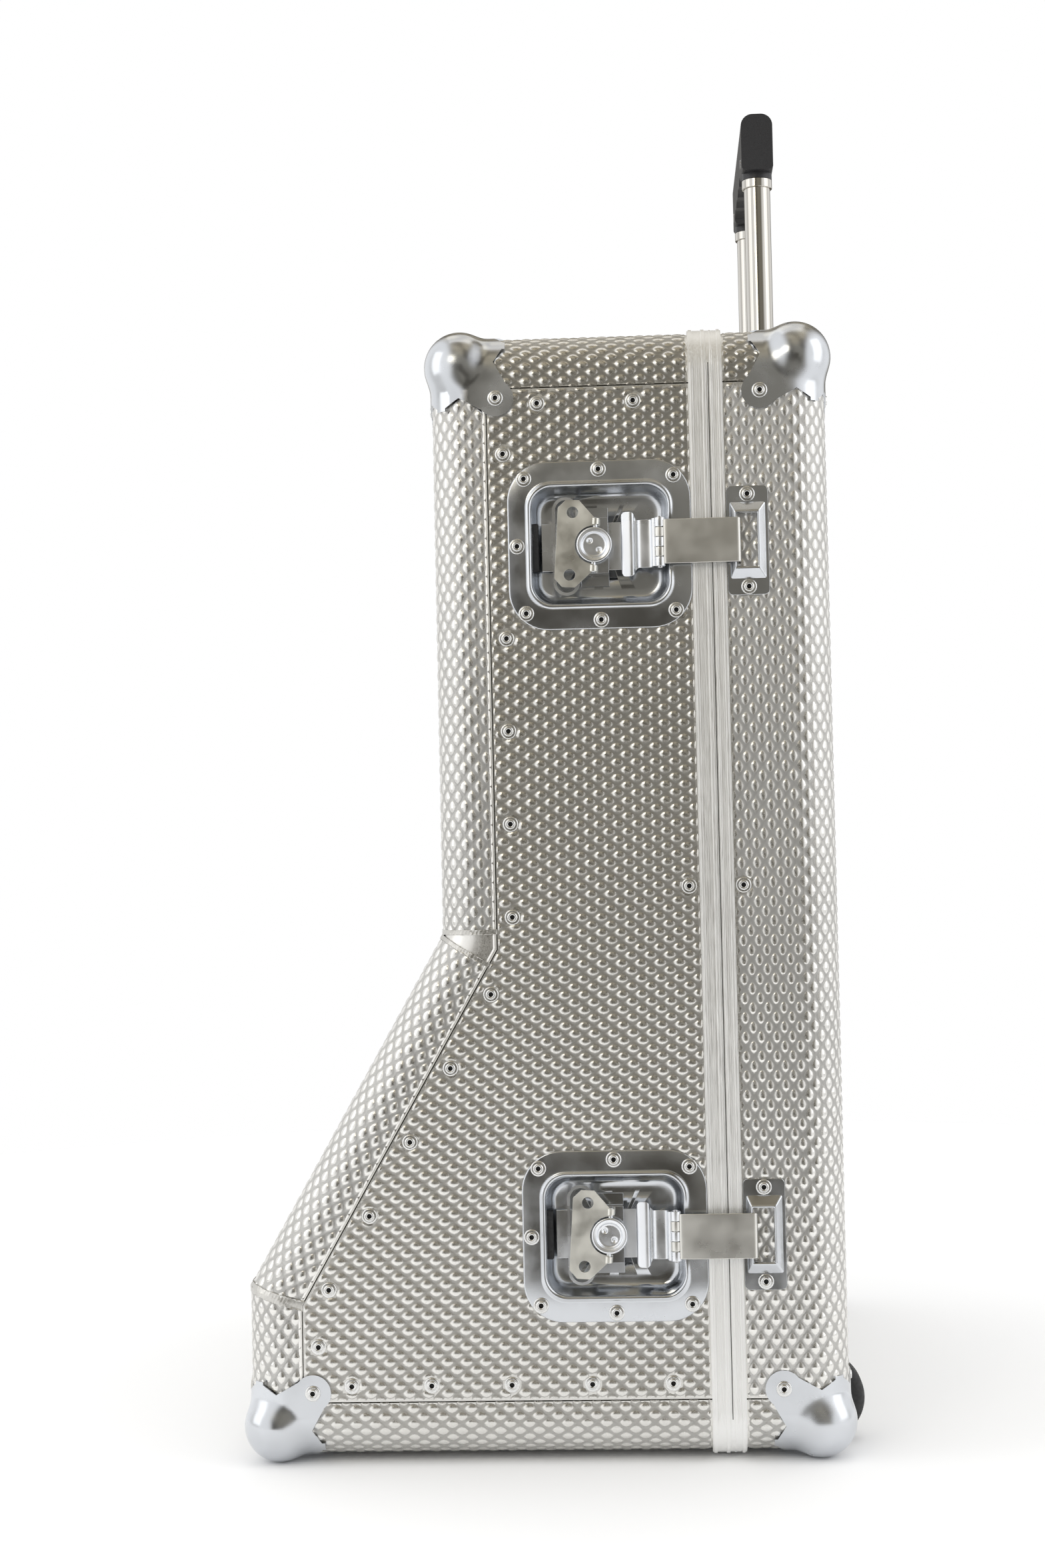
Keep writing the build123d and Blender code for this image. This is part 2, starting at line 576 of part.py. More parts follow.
def rotor(cz):
    """The turning boss with its cross bar for the wing and the crank pin below."""
    def disc(radius, top, under, x=0.0, z=0.0):
        return rod(at(cz, BOSS_X + x, top, z), (0, 1, 0), radius, under - top)

    floor_r, floor_d = BOSS_FLOOR
    body = disc(BOSS_R, *BOSS_D) - disc(floor_r, BOSS_D[0] - 1, floor_d)
    body -= [disc(DIMPLE_R, floor_d - 1.8, 1.2, dx, dz) for dx, dz in DIMPLES]
    body += disc(STEM_R, BOSS_D[1], STEM_END_D) + disc(*CRANK_DISC) + disc(*CRANK_PIN, x=-DRAW / 2)
    bar = rod(at(cz, BOSS_X, WING_AXIS_D, -BAR_HALF), (0, 0, 1), BAR_R, 2 * BAR_HALF)
    return body + tilt(bar - disc(BAR_ROOT, -2.0, 4.0), cz)


def tilt(shape, cz):
    """Turn a shape about the rotor axis to the wing's resting angle."""
    centre = at(cz, BOSS_X, 0, 0)
    return shape.rotate(Axis(centre, (0, 1, 0)), WING_TILT)


def wing(cz):
    """Flip-up key plate, hinged on the rotor's cross bar."""
    def bore(x, z, radius):
        return rod(at(cz, BOSS_X + x, -5, z), (0, 1, 0), radius, 10)

    placed = [(LATCH_X + BOSS_X + x, cz + z) for x, z in WING_OUTLINE]
    plate = side_plate(placed, SKIN_Y + WING_D[0], SKIN_Y + WING_D[1])
    plate -= bore(0, 0, WING_CLEAR_R)
    hole_x, hole_z, hole_r = WING_HOLE
    eye_r, eye_start, eye_end = WING_EYE
    for s in (-1, 1):
        plate -= bore(hole_x, s * hole_z, hole_r)
        low, high = sorted((s * eye_start, s * eye_end))
        plate += rod(at(cz, BOSS_X, WING_AXIS_D, low), (0, 0, 1), eye_r, high - low)
        plate -= rod(at(cz, BOSS_X, WING_AXIS_D, low - 2), (0, 0, 1), BAR_R + RUN_FIT, high - low + 4.2)
    return tilt(plate, cz)


def knuckle_spans(half, count):
    """Where each knuckle of a hinge starts and ends along its pin."""
    pitch = 2 * half / count
    return [(-half + i * pitch + KNUCKLE_GAP, -half + (i + 1) * pitch - KNUCKLE_GAP) for i in range(count)]


def pull_plate(cz):
    """Plate drawn by the rotor's crank, carrying the strap hinge."""
    thick, thin = PULL_T
    flange_x, flange_end = FLANGE_X
    crank_x = BOSS_X - DRAW / 2
    slot_x, slot_z = CRANK_SLOT
    runs = (((PULL_START, PULL_D), (flange_x + thick, PULL_D + thick), PULL_HALF),
            ((flange_x, FLANGE_D), (flange_x + thick, PULL_D + thick), FLANGE_HALF),
            ((flange_x, FLANGE_D), (flange_end, FLANGE_D + thick), FLANGE_HALF),
            ((flange_end - thick, FLANGE_D), (RISER_X + thin, FLANGE_D + thin), PULL_HALF),
            ((RISER_X, RISER_D), (RISER_X + thin, FLANGE_D + thin), PULL_HALF),
            ((RISER_X, RISER_D), (BARREL_X, RISER_D + thin), PULL_HALF))
    parts = [latch_block(cz, (*low, -half), (*high, half)) for low, high, half in runs]
    body = parts[0] - latch_block(cz, (crank_x - slot_x, PULL_D - 1, -slot_z), (crank_x + slot_x, PULL_D + 3, slot_z))
    body += parts[1:]
    for i, (low, high) in enumerate(knuckle_spans(BARREL_HALF, KNUCKLES)):
        if i % 2 == 0:
            body += rod(at(cz, BARREL_X, BARREL_D, low), (0, 0, 1), BARREL_R, high - low)
        else:
            body -= latch_block(cz, (BARREL_X - KNUCKLE_CLEAR, KNUCKLE_CUT_D, low - 2 * KNUCKLE_GAP),
                                (BARREL_X + 5, 0, high + 2 * KNUCKLE_GAP))
    return body - rod(at(cz, BARREL_X, BARREL_D, -20), (0, 0, 1), PIN_R + RUN_FIT, 40)


def strap_pin(cz):
    return rod(at(cz, BARREL_X, BARREL_D, -BARREL_HALF - 0.6), (0, 0, 1), PIN_R, 2 * BARREL_HALF + 1.2)


HOOK_X = 85.1            # far side of the hook from the dish centre
HOOK_T = 1.8
HOOK_END_D = -2.6
STRAP_T = 1.4
KEEPER_TOP_D = -6.0
KEEPER = (25.0, 66.0)
KEEPER_FRAME = (20.0, 44.6)
KEEPER_WINDOW = (-6.9, 5.5, 16.0)    # start, end and half height
KEEPER_TAPER = 20.0


def strap(cz):
    """Hook strap over the keeper: a leaning plate with its end bent in."""
    top_d = BARREL_D - BARREL_R
    end_d = KEEPER_TOP_D - 2.0
    corners = [(BARREL_X, top_d), (HOOK_X, end_d), (HOOK_X, HOOK_END_D), (HOOK_X - HOOK_T, HOOK_END_D),
               (HOOK_X - HOOK_T, end_d + STRAP_T), (BARREL_X, top_d + STRAP_T)]
    points = [(LATCH_X + x, SKIN_Y + d) for x, d in corners]
    face = Plane(origin=(0, 0, cz - STRAP_HALF)) * make_face(Polyline(*points, close=True))
    body = extrude(face, 2 * STRAP_HALF)
    for i, (low, high) in enumerate(knuckle_spans(BARREL_HALF, KNUCKLES)):
        if i % 2:
            body += rod(at(cz, BARREL_X, BARREL_D, low), (0, 0, 1), BARREL_R, high - low)
        else:
            body -= latch_block(cz, (BARREL_X - 5, KNUCKLE_CUT_D, low - 2 * KNUCKLE_GAP),
                                (BARREL_X + KNUCKLE_CLEAR, 0, high + 2 * KNUCKLE_GAP))
    return body - rod(at(cz, BARREL_X, BARREL_D, -20), (0, 0, 1), PIN_R + RUN_FIT, 40)


def keeper(cz):
    """Keeper plate on the tray with a raised frame round the hook's window."""
    start, end, half = KEEPER_WINDOW
    plate = rounded_block(KEEPER, 3.0, SKIN_Y - PLATE_T, SKIN_Y, (KEEPER_X, cz))
    base = Plane(origin=(KEEPER_X, SKIN_Y - PLATE_T, cz), x_dir=(1, 0, 0), z_dir=(0, -1, 0))
    plate += extrude(base * Rectangle(*KEEPER_FRAME), -KEEPER_TOP_D - PLATE_T, taper=KEEPER_TAPER)
    return plate - block((KEEPER_X + start, SKIN_Y - 9, cz - half), (KEEPER_X + end, SKIN_Y + 3, cz + half))


LATCH_NAMES = ("upper", "lower")
for latch_name, latch_z in zip(LATCH_NAMES, LATCH_Z):
    dish_drills = [drill(*seat) for seat in DISH_SEATS]
    save(f"{latch_name}_latch_dish", cut_all(dish(latch_z), dish_drills))
    save(f"{latch_name}_latch_rotor", rotor(latch_z))
    save(f"{latch_name}_latch_wing", wing(latch_z))
    save(f"{latch_name}_latch_pull_plate", pull_plate(latch_z))
    save(f"{latch_name}_latch_strap_pin", strap_pin(latch_z))
    save(f"{latch_name}_latch_strap", strap(latch_z))
save("latch_brackets", *[bracket(z) for z in LATCH_Z])
save("latch_finger_scoops", *[finger_scoop(z) for z in LATCH_Z])
save("latch_stop_pads", *[stop_pad(z) for z in LATCH_Z])
save("keepers", *[cut_all(keeper(z), [drill(*seat) for seat in KEEPER_SEATS]) for z in LATCH_Z])


# Hinges on the far side, bridging the parting frames
HINGE_PIN_R = 2.0
HINGE_T = 1.6
HINGE_STEP_D = 3.0       # the leaf's step over the frames
LEAF_REACH = {-1: 43.0, 1: 39.0}


def hinge_leaf(cz, side):
    """One leaf: a foot on the side panel, a step over the frames and its knuckles."""
    axis = (PARTING_X, HINGE_AXIS_Y)
    half = HINGE_LONG / 2
    step = (LID_VALANCE + 1.2) if side < 0 else (TRAY_VALANCE + 1.2)

    def strip(x_near, x_far, y_low, y_high, z_low, z_high):
        low, high = sorted((axis[0] + side * x_near, axis[0] + side * x_far))
        return block((low, y_low, cz + z_low), (high, y_high, cz + z_high))

    top = HALF + HINGE_STEP_D + HINGE_T
    body = strip(step, LEAF_REACH[side], HALF, HALF + HINGE_T, -half, half)
    body += strip(step, step + HINGE_T, HALF, top, -half, half)
    body += strip(0, step + HINGE_T, top - HINGE_T, top, -half, half)
    own = 0 if side > 0 else 1
    for i, (low, high) in enumerate(knuckle_spans(half, KNUCKLES)):
        centre = (axis[0], axis[1], cz + low)
        if i % 2 == own:
            body += rod(centre, (0, 0, 1), KNUCKLE_R, high - low)
        else:
            body -= strip(-6, KNUCKLE_R + 0.5, HALF, HALF + 14, low - 2 * KNUCKLE_GAP,
                          high + 2 * KNUCKLE_GAP)
    body -= rod((axis[0], axis[1], cz - half - 5), (0, 0, 1), HINGE_PIN_R + RUN_FIT, HINGE_LONG + 10)
    return cut_all(body, [drill(*seat) for seat in hinge_seats(side)])


def hinge_pin(cz):
    half = HINGE_LONG / 2
    pin = rod((PARTING_X, HINGE_AXIS_Y, cz - half - 1.5), (0, 0, 1), HINGE_PIN_R, HINGE_LONG + 3)
    for s in (-1, 1):
        start = cz + s * half + (0.1 if s > 0 else -1.6)
        pin += rod((PARTING_X, HINGE_AXIS_Y, start), (0, 0, 1), HINGE_PIN_R + 1.0, 1.5)
    return pin


save("tray_hinge_leaves", *[hinge_leaf(z, 1) for z in HINGE_Z])
save("lid_hinge_leaves", *[hinge_leaf(z, -1) for z in HINGE_Z])
save("hinge_pins", *[hinge_pin(z) for z in HINGE_Z])


# Trolley handle
GUIDE_R = 11.0
GUIDE_BORE = 9.6
GUIDE_FOOT_Z = 300.0
GUIDE_TOP_Z = TOP_Z - 13.2
CLAMP_Z = (GUIDE_FOOT_Z, 600.0)
CLAMP_HALF, CLAMP_TALL = 16.0, 18.0
BEZEL_T = 4.0
COLLAR_Z = 6.0


def tube(radius, bore, z_low, z_high, y):
    """A round tube standing on the handle's line."""
    start = (HANDLE_X, y, z_low)
    long = z_high - z_low
    return rod(start, (0, 0, 1), radius, long) - rod((HANDLE_X, y, z_low - 1), (0, 0, 1), bore, long + 2)


def guide_foot(y, z_low):
    """Clamp block that fixes a guide tube to the tray's face."""
    body = block((HANDLE_X - 12.4, y - CLAMP_HALF, z_low), (TRAY_X - SHEET, y + CLAMP_HALF, z_low + CLAMP_TALL))
    return body - rod((HANDLE_X, y, z_low - 1), (0, 0, 1), GUIDE_R, 20)


def bezel(y):
    """Plate and sleeve where a tube leaves the top of the case."""
    plate = extrude(Plane(origin=(HANDLE_X, y, TOP_Z)) * RectangleRounded(38, 38, 6), BEZEL_T)
    plate = chamfer(plate.edges().group_by(Axis.Z)[-1], 1.2)
    plate += rod((HANDLE_X, y, GUIDE_TOP_Z), (0, 0, 1), GUIDE_R, TOP_Z - GUIDE_TOP_Z)
    return plate - rod((HANDLE_X, y, GUIDE_TOP_Z - 1), (0, 0, 1), TUBE_R + RUN_FIT, 40)


def grip():
    """Moulded hand grip: rounded on top, with finger waves under the middle."""
    low, high = GRIP_Z
    half_x = 10.8
    section = Pos(0, (low + high) / 2) * RectangleRounded(2 * half_x, high - low, 8.0)
    section += Pos(0, low + 6) * RectangleRounded(2 * half_x, 12, 2.5)
    plane = Plane(origin=(HANDLE_X, GRIP_HALF, 0), x_dir=(1, 0, 0), z_dir=(0, -1, 0))
    body = extrude(plane * section, 2 * GRIP_HALF)
    waves = spaced(-42.0, 28.0, 4)
    for y in waves:
        scoop = rod((HANDLE_X - 20, y, low - 12.0), (1, 0, 0), 18.0, 40)
        body -= scoop
    body -= block((HANDLE_X - 20, -52, low - 1), (HANDLE_X + 20, 52, low + 3.2))
    for s in (-1, 1):
        body += rod((HANDLE_X, s * HANDLE_Y, low - 4.0), (0, 0, 1), 10.4, 8)
        body -= rod((HANDLE_X, s * HANDLE_Y, low - 6), (0, 0, 1), TUBE_R, 32)
        for sx in (-1, 1):
            body -= rod((HANDLE_X + sx * 9.2, s * HANDLE_Y, low + 8), (sx, 0, 0), 3.4, 5)
    body -= button_box(0.35, 8.5)
    return body


BUTTON = (9.0, 34.0)


def button_box(grow, deep):
    high = GRIP_Z[1]
    face = Plane(origin=(HANDLE_X, 0, high - deep)) * RectangleRounded(BUTTON[0] + 2 * grow, BUTTON[1] + 2 * grow, 3)
    return extrude(face, deep + 6)


def button():
    face = Plane(origin=(HANDLE_X, 0, GRIP_Z[1] - 4.6)) * RectangleRounded(BUTTON[0], BUTTON[1], 3)
    body = extrude(face, 5.0)
    return fillet(body.edges().group_by(Axis.Z)[-1], 1.0)


def grip_screw(y, side):
    """Pan head screw through the side of the grip into a tube."""
    start = (HANDLE_X + side * 9.2, y, GRIP_Z[0] + 8)
    head = rod(start, (side, 0, 0), 3.3, 2.1)
    face_x = start[0] + side * 2.1
    slot = block((face_x - 0.9, y - 0.5, start[2] - 2.6), (face_x + 0.9, y + 0.5, start[2] + 2.6))
    return head - slot


SIDES = (-1, 1)
save("guide_tubes", *[tube(GUIDE_R, GUIDE_BORE, GUIDE_FOOT_Z, GUIDE_TOP_Z, s * HANDLE_Y) for s in SIDES])
save("guide_clamps", *[guide_foot(s * HANDLE_Y, z) for s in SIDES for z in CLAMP_Z])
save("handle_bezels", *[bezel(s * HANDLE_Y) for s in SIDES])
save("handle_tubes", *[tube(TUBE_R, TUBE_R - 1.2, TUBE_FOOT_Z, GRIP_Z[0] + 24, s * HANDLE_Y) for s in SIDES])
save("handle_collars", *[tube(10.4, TUBE_R, GRIP_Z[0] - 4 - COLLAR_Z, GRIP_Z[0] - 4, s * HANDLE_Y) for s in SIDES])
save("handle_tube_glides", *[tube(GUIDE_BORE - 0.12, TUBE_R, TUBE_FOOT_Z, TUBE_FOOT_Z + 16, s * HANDLE_Y)
                             for s in SIDES])
save("handle_grip", grip())
save("handle_button", button())
save("grip_screws", *[grip_screw(s * HANDLE_Y, sx) for s in SIDES for sx in SIDES])


# Wheels
AXLE_R = 4.0
HUB_R = 17.0
BEARING_R = 11.0
BEARING_W = 7.0


def wheel_tyre(y):
    x, _, z = WHEEL_C
    body = rod((x, y - WHEEL_W / 2, z), (0, 1, 0), WHEEL_R, WHEEL_W)
    body = fillet(body.edges().filter_by(GeomType.CIRCLE), 5.0)
    return body - rod((x, y - WHEEL_W, z), (0, 1, 0), HUB_R, 2 * WHEEL_W)


def wheel_hub(y):
    x, _, z = WHEEL_C
    half = WHEEL_W / 2
    body = rod((x, y - half + 0.5, z), (0, 1, 0), HUB_R, WHEEL_W - 1.0)
    body -= rod((x, y - half, z), (0, 1, 0), AXLE_R + 1.5, WHEEL_W)
    for start in (y - half, y + half - BEARING_W - 0.5):
        body -= rod((x, start, z), (0, 1, 0), BEARING_R, BEARING_W + 0.5)
    return body


def wheel_bearings(y):
    x, _, z = WHEEL_C
    half = WHEEL_W / 2
    rings = []
    for start in (y - half + 0.5, y + half - BEARING_W - 0.5):
        ring_shape = rod((x, start, z), (0, 1, 0), BEARING_R, BEARING_W)
        rings.append(ring_shape - rod((x, start - 1, z), (0, 1, 0), AXLE_R + RUN_FIT, BEARING_W + 2))
    return rings


def wheel_housing(y):
    """Pressed housing round a wheel, open at the tray's face and at the bottom."""
    x, _, z = WHEEL_C
    wall = 2.0
    half = WHEEL_PIT_HALF
    x_low = x - 29.5
    body = block((x_low, y - half, BASE_Z), (TRAY_X, y + half, z + 31.0))
    outer = Pos(TRAY_X - 100, BASE_Z + 100) * RectangleRounded(200, 200, EDGE_R)
    profile = extrude(Plane(origin=(0, 400, 0), x_dir=(1, 0, 0), z_dir=(0, -1, 0)) * outer, 800)
    body = body & profile
    body -= block((x_low + wall, y - half + wall, -20), (TRAY_X + 20, y + half - wall, z + 31.0 - wall))
    return body - rod((x, y - 30, z), (0, 1, 0), AXLE_R, 60)


def axle(y):
    """Axle bolt with its head and nut outside the housing walls."""
    x, _, z = WHEEL_C
    half = WHEEL_PIT_HALF
    bolt = rod((x, y - half - 4, z), (0, 1, 0), AXLE_R, 2 * half + 8)
    for start in (y - half - 4, y + half):
        nut = Plane(origin=(x, start, z), z_dir=(0, 1, 0)) * RegularPolygon(7.0, 6)
        bolt += extrude(nut, 4)
    return bolt


def axle_spacers(y):
    """Short sleeves that centre a wheel in its housing."""
    x, _, z = WHEEL_C
    sleeves = []
    for start in (y - WHEEL_PIT_HALF + 2.0, y + WHEEL_W / 2 - 0.4):
        sleeve = rod((x, start, z), (0, 1, 0), 5.4, WHEEL_PIT_HALF - 2.0 - WHEEL_W / 2 + 0.4)
        sleeves.append(sleeve - rod((x, start - 1, z), (0, 1, 0), AXLE_R, 10))
    return sleeves


for wheel_name, sign in (("near", -1), ("far", 1)):
    wheel_y = sign * WHEEL_C[1]
    save(f"{wheel_name}_wheel_tyre", wheel_tyre(wheel_y))
    save(f"{wheel_name}_wheel_hub", wheel_hub(wheel_y))
    save(f"{wheel_name}_wheel_bearings", *wheel_bearings(wheel_y))
save("wheel_housings", *[wheel_housing(s * WHEEL_C[1]) for s in SIDES])
save("wheel_axles", *[axle(s * WHEEL_C[1]) for s in SIDES])
save("axle_spacers", *[sleeve for s in SIDES for sleeve in axle_spacers(s * WHEEL_C[1])])


# Foam lining
FOAM_Y = HALF - FOAM_SIDE
FOAM_BACK_Y = HALF - 5.0
LID_FOAM_X = PARTING_X - 2.0
FOAM_GAP = 4.8
INNER = outline(FOAM_WALL)
BACK = outline(FOAM_GAP)
BEND_CLEAR = EDGE_R + 1.0
EDGE_CLEAR = EDGE_R + 2.0
CORNER_CLEAR = 11.0
POCKET_CLEAR = 6.0       # round the back of a dish
BOARD_GAP = 0.2
FIT = 0.6                # foam cut-outs round guides and clamps


def across(points):
    """A foam slab between the two side linings."""
    return side_plate(points, -FOAM_Y, FOAM_Y)


def lid_foam_ends():
    """Top and bottom slabs, their outer corners cut back from the rounded bends."""
    slabs = []
    for (x_face, z_face), inner, sz in ((CORNER_B, INNER[0], -1), (CORNER_E, INNER[3], 1)):
        z_back = z_face + sz * FOAM_GAP
        slabs.append(across([(LID_FOAM_X, inner[1]), inner, (x_face + CORNER_CLEAR, z_face + sz * CORNER_CLEAR),
                             (x_face + BEND_CLEAR, z_back), (LID_FOAM_X, z_back)]))
    return slabs


def lid_foam_front():
    """The three slabs behind the stepped front: upper, sloping and foot."""
    top_cut = (CORNER_B[0] + CORNER_CLEAR, CORNER_B[1] - CORNER_CLEAR)
    foot_cut = (CORNER_E[0] + CORNER_CLEAR, CORNER_E[1] + CORNER_CLEAR)
    upper = across([INNER[0], INNER[1], BACK[1], (BACK[0][0], TOP_Z - BEND_CLEAR), top_cut])
    slope = across([INNER[1], INNER[2], BACK[2], BACK[1]])
    foot = across([INNER[2], INNER[3], foot_cut, (BACK[3][0], BASE_Z + BEND_CLEAR), BACK[2]])
    return upper, slope, foot


def lid_foam_sides():
    """Side linings. The latched one is cut in boards round the pockets for the backs of the dishes."""
    points = [(LID_FOAM_X, TOP_Z - EDGE_CLEAR)] + outline(EDGE_CLEAR) + [(LID_FOAM_X, BASE_Z + EDGE_CLEAR)]
    hinged = side_plate(points, FOAM_Y, FOAM_BACK_Y)
    latched = mirror(hinged, about=Plane.XZ)
    half_x, half_z = BASIN[0] / 2 + POCKET_CLEAR, BASIN[1] / 2 + POCKET_CLEAR
    left, right = LATCH_X - half_x, LATCH_X + half_x
    for z in LATCH_Z:
        latched -= block((left, -HALF, z - half_z), (right, -HALF + BASIN_DEEP + 4, z + half_z))
        for edge_z in (z - half_z, z + half_z):
            latched -= block((LID_FOOT_X, -HALF, edge_z - BOARD_GAP),
                             (LID_FOAM_X + 1, -FOAM_Y + 1, edge_z + BOARD_GAP))
        for edge_x in (left, right):
            latched -= block((edge_x - BOARD_GAP, -HALF, z - half_z),
                             (edge_x + BOARD_GAP, -FOAM_Y + 1, z + half_z))
    return latched, hinged


INNER_TOP, INNER_BASE = TOP_Z - FOAM_WALL, BASE_Z + FOAM_WALL
save("lid_foam_ends", *lid_foam_ends())
save("lid_foam_front", *lid_foam_front())
save("lid_foam_sides", *lid_foam_sides())

bed = block((TRAY_FOAM_X, -FOAM_Y, INNER_BASE), (TRAY_X - 3.5, FOAM_Y, INNER_TOP))
for s in SIDES:
    tube_y, pit_y, half = s * HANDLE_Y, s * WHEEL_C[1], GUIDE_R + FIT
    bed -= block((HANDLE_X - half, tube_y - half, GUIDE_FOOT_Z - 1), (HANDLE_X + half, tube_y + half, TOP_Z))
    bed -= [block((HANDLE_X - 13, tube_y - CLAMP_HALF - FIT, z - FIT),
                  (TRAY_X, tube_y + CLAMP_HALF + FIT, z + CLAMP_TALL + FIT)) for z in CLAMP_Z]
    bed -= block((WHEEL_C[0] - 31, pit_y - 21, 0), (TRAY_X, pit_y + 21, WHEEL_C[2] + 32))
save("tray_foam_bed", bed)
walls = [block((PARTING_X + 2, -FOAM_Y, INNER_TOP), (TRAY_FOAM_X, FOAM_Y, TOP_Z - FOAM_GAP)),
         block((PARTING_X + 2, -FOAM_Y, BASE_Z + FOAM_GAP), (TRAY_FOAM_X, FOAM_Y, INNER_BASE))]
for s in SIDES:
    low, high = sorted((s * FOAM_Y, s * FOAM_BACK_Y))
    walls.append(block((PARTING_X + 2, low, BASE_Z + EDGE_CLEAR), (TRAY_FOAM_X, high, TOP_Z - EDGE_CLEAR)))
save("tray_foam_walls", *walls)
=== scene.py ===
import json
from math import cos, pi, radians, sin, sqrt, tan

import bmesh
import bpy
import numpy as np
from mathutils import Matrix, Vector, noise

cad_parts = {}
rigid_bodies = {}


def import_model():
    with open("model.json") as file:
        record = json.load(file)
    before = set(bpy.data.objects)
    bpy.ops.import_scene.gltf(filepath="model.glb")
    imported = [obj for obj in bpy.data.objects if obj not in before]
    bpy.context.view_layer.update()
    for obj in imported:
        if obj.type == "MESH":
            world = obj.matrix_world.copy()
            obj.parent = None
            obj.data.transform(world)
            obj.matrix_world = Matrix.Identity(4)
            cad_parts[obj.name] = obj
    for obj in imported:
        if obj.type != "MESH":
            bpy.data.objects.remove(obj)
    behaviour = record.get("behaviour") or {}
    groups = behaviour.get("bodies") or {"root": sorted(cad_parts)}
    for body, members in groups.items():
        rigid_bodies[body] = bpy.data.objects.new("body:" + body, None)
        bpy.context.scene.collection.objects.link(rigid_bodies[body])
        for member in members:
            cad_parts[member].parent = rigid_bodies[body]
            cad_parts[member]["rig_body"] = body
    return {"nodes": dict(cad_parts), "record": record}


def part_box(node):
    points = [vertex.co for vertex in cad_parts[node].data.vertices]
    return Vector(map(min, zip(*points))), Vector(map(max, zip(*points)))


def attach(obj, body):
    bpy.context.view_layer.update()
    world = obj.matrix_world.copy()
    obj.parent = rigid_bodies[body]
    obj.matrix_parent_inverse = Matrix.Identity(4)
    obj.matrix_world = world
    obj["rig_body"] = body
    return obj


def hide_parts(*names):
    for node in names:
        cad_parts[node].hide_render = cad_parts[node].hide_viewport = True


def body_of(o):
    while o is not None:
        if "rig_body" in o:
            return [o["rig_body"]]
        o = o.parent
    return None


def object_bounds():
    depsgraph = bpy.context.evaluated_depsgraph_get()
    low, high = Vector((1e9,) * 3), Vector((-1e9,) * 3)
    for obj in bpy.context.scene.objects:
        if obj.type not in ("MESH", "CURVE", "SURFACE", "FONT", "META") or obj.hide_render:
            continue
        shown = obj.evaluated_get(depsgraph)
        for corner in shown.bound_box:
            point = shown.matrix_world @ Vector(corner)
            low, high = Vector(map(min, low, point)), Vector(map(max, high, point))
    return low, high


bl_info = {
    "name": "Mixer flight case",
    "version": (1, 0, 0),
    "blender": (4, 5, 0),
    "location": "3D View > Sidebar > Flight case",
    "description": "Dresses an upright aluminium flight case for an audio mixer",
    "category": "Object",
}

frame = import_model()
CAD_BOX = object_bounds()
NODES = frame["nodes"]


def low(node):
    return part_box(node)[0]


def high(node):
    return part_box(node)[1]


# Places and sizes read from the frame, in metres
SHEET = 0.0012
EDGE_R = 0.025
SEAM = 0.0345
SLOPE = radians(30)
TOP_Z = high("lid_top_sheet").z
BASE_Z = low("lid_bottom_sheet").z
LID_TOP_X = low("lid_front_sheet").x
LID_FOOT_X = low("lid_foot_sheet").x
LID_EDGE_X = high("lid_top_sheet").x
TRAY_EDGE_X = low("tray_face_sheet").x
TRAY_X = high("tray_face_sheet").x
NEAR_Y = low("lid_latched_side").y
FAR_Y = high("lid_hinged_side").y
MID_Y = (NEAR_Y + FAR_Y) / 2
HALF = (FAR_Y - NEAR_Y) / 2
WRAP = HALF - SHEET
BEND_C = (LID_TOP_X, low("lid_front_sheet").z)
BEND_D = (LID_FOOT_X, BEND_C[1] - (LID_TOP_X - LID_FOOT_X) / tan(SLOPE))
LATCHES = ("upper", "lower")


# Meshes and objects
def new_piece(name, mesh, body, material, smooth=True):
    """A finished piece riding on a body."""
    if smooth:
        mesh.polygons.foreach_set("use_smooth", np.ones(len(mesh.polygons), bool))
    piece = bpy.data.objects.new(name, mesh)
    bpy.context.scene.collection.objects.link(piece)
    mesh.materials.append(material)
    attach(piece, body)
    return piece


def mesh_from(name, vertices, faces):
    mesh = bpy.data.meshes.new(name)
    mesh.from_pydata([tuple(v) for v in vertices], [], [tuple(int(i) for i in f) for f in faces])
    mesh.validate()
    return mesh


def grid_mesh(name, points, keep=None, uv=None, relief=None):
    """A mesh from an array of rows of points, leaving out the cells that aren't kept."""
    rows, columns = points.shape[:2]
    index = np.arange(rows * columns).reshape(rows, columns)
    quads = np.stack([index[:-1, :-1], index[1:, :-1], index[1:, 1:], index[:-1, 1:]], -1)
    if keep is not None:
        corner_keep = keep[:-1, :-1] | keep[1:, :-1] | keep[1:, 1:] | keep[:-1, 1:]
        quads = quads[corner_keep]
    quads = quads.reshape(-1, 4)
    used = np.unique(quads)
    renumber = np.full(rows * columns, -1)
    renumber[used] = np.arange(len(used))
    quads = renumber[quads]
    mesh = bpy.data.meshes.new(name)
    mesh.vertices.add(len(used))
    mesh.vertices.foreach_set("co", points.reshape(-1, 3)[used].astype(np.float32).ravel())
    mesh.loops.add(quads.size)
    mesh.loops.foreach_set("vertex_index", quads.ravel().astype(np.int32))
    mesh.polygons.add(len(quads))
    mesh.polygons.foreach_set("loop_start", np.arange(0, quads.size, 4, dtype=np.int32))
    mesh.update(calc_edges=True)
    if uv is not None:
        layer = mesh.uv_layers.new(name="Grain")
        flat = uv.reshape(-1, 2)[used][quads.ravel()]
        layer.data.foreach_set("uv", flat.astype(np.float32).ravel())
    if relief is not None:
        layer = mesh.attributes.new("Relief", "FLOAT", "POINT")
        layer.data.foreach_set("value", relief.ravel()[used].astype(np.float32))
    return mesh


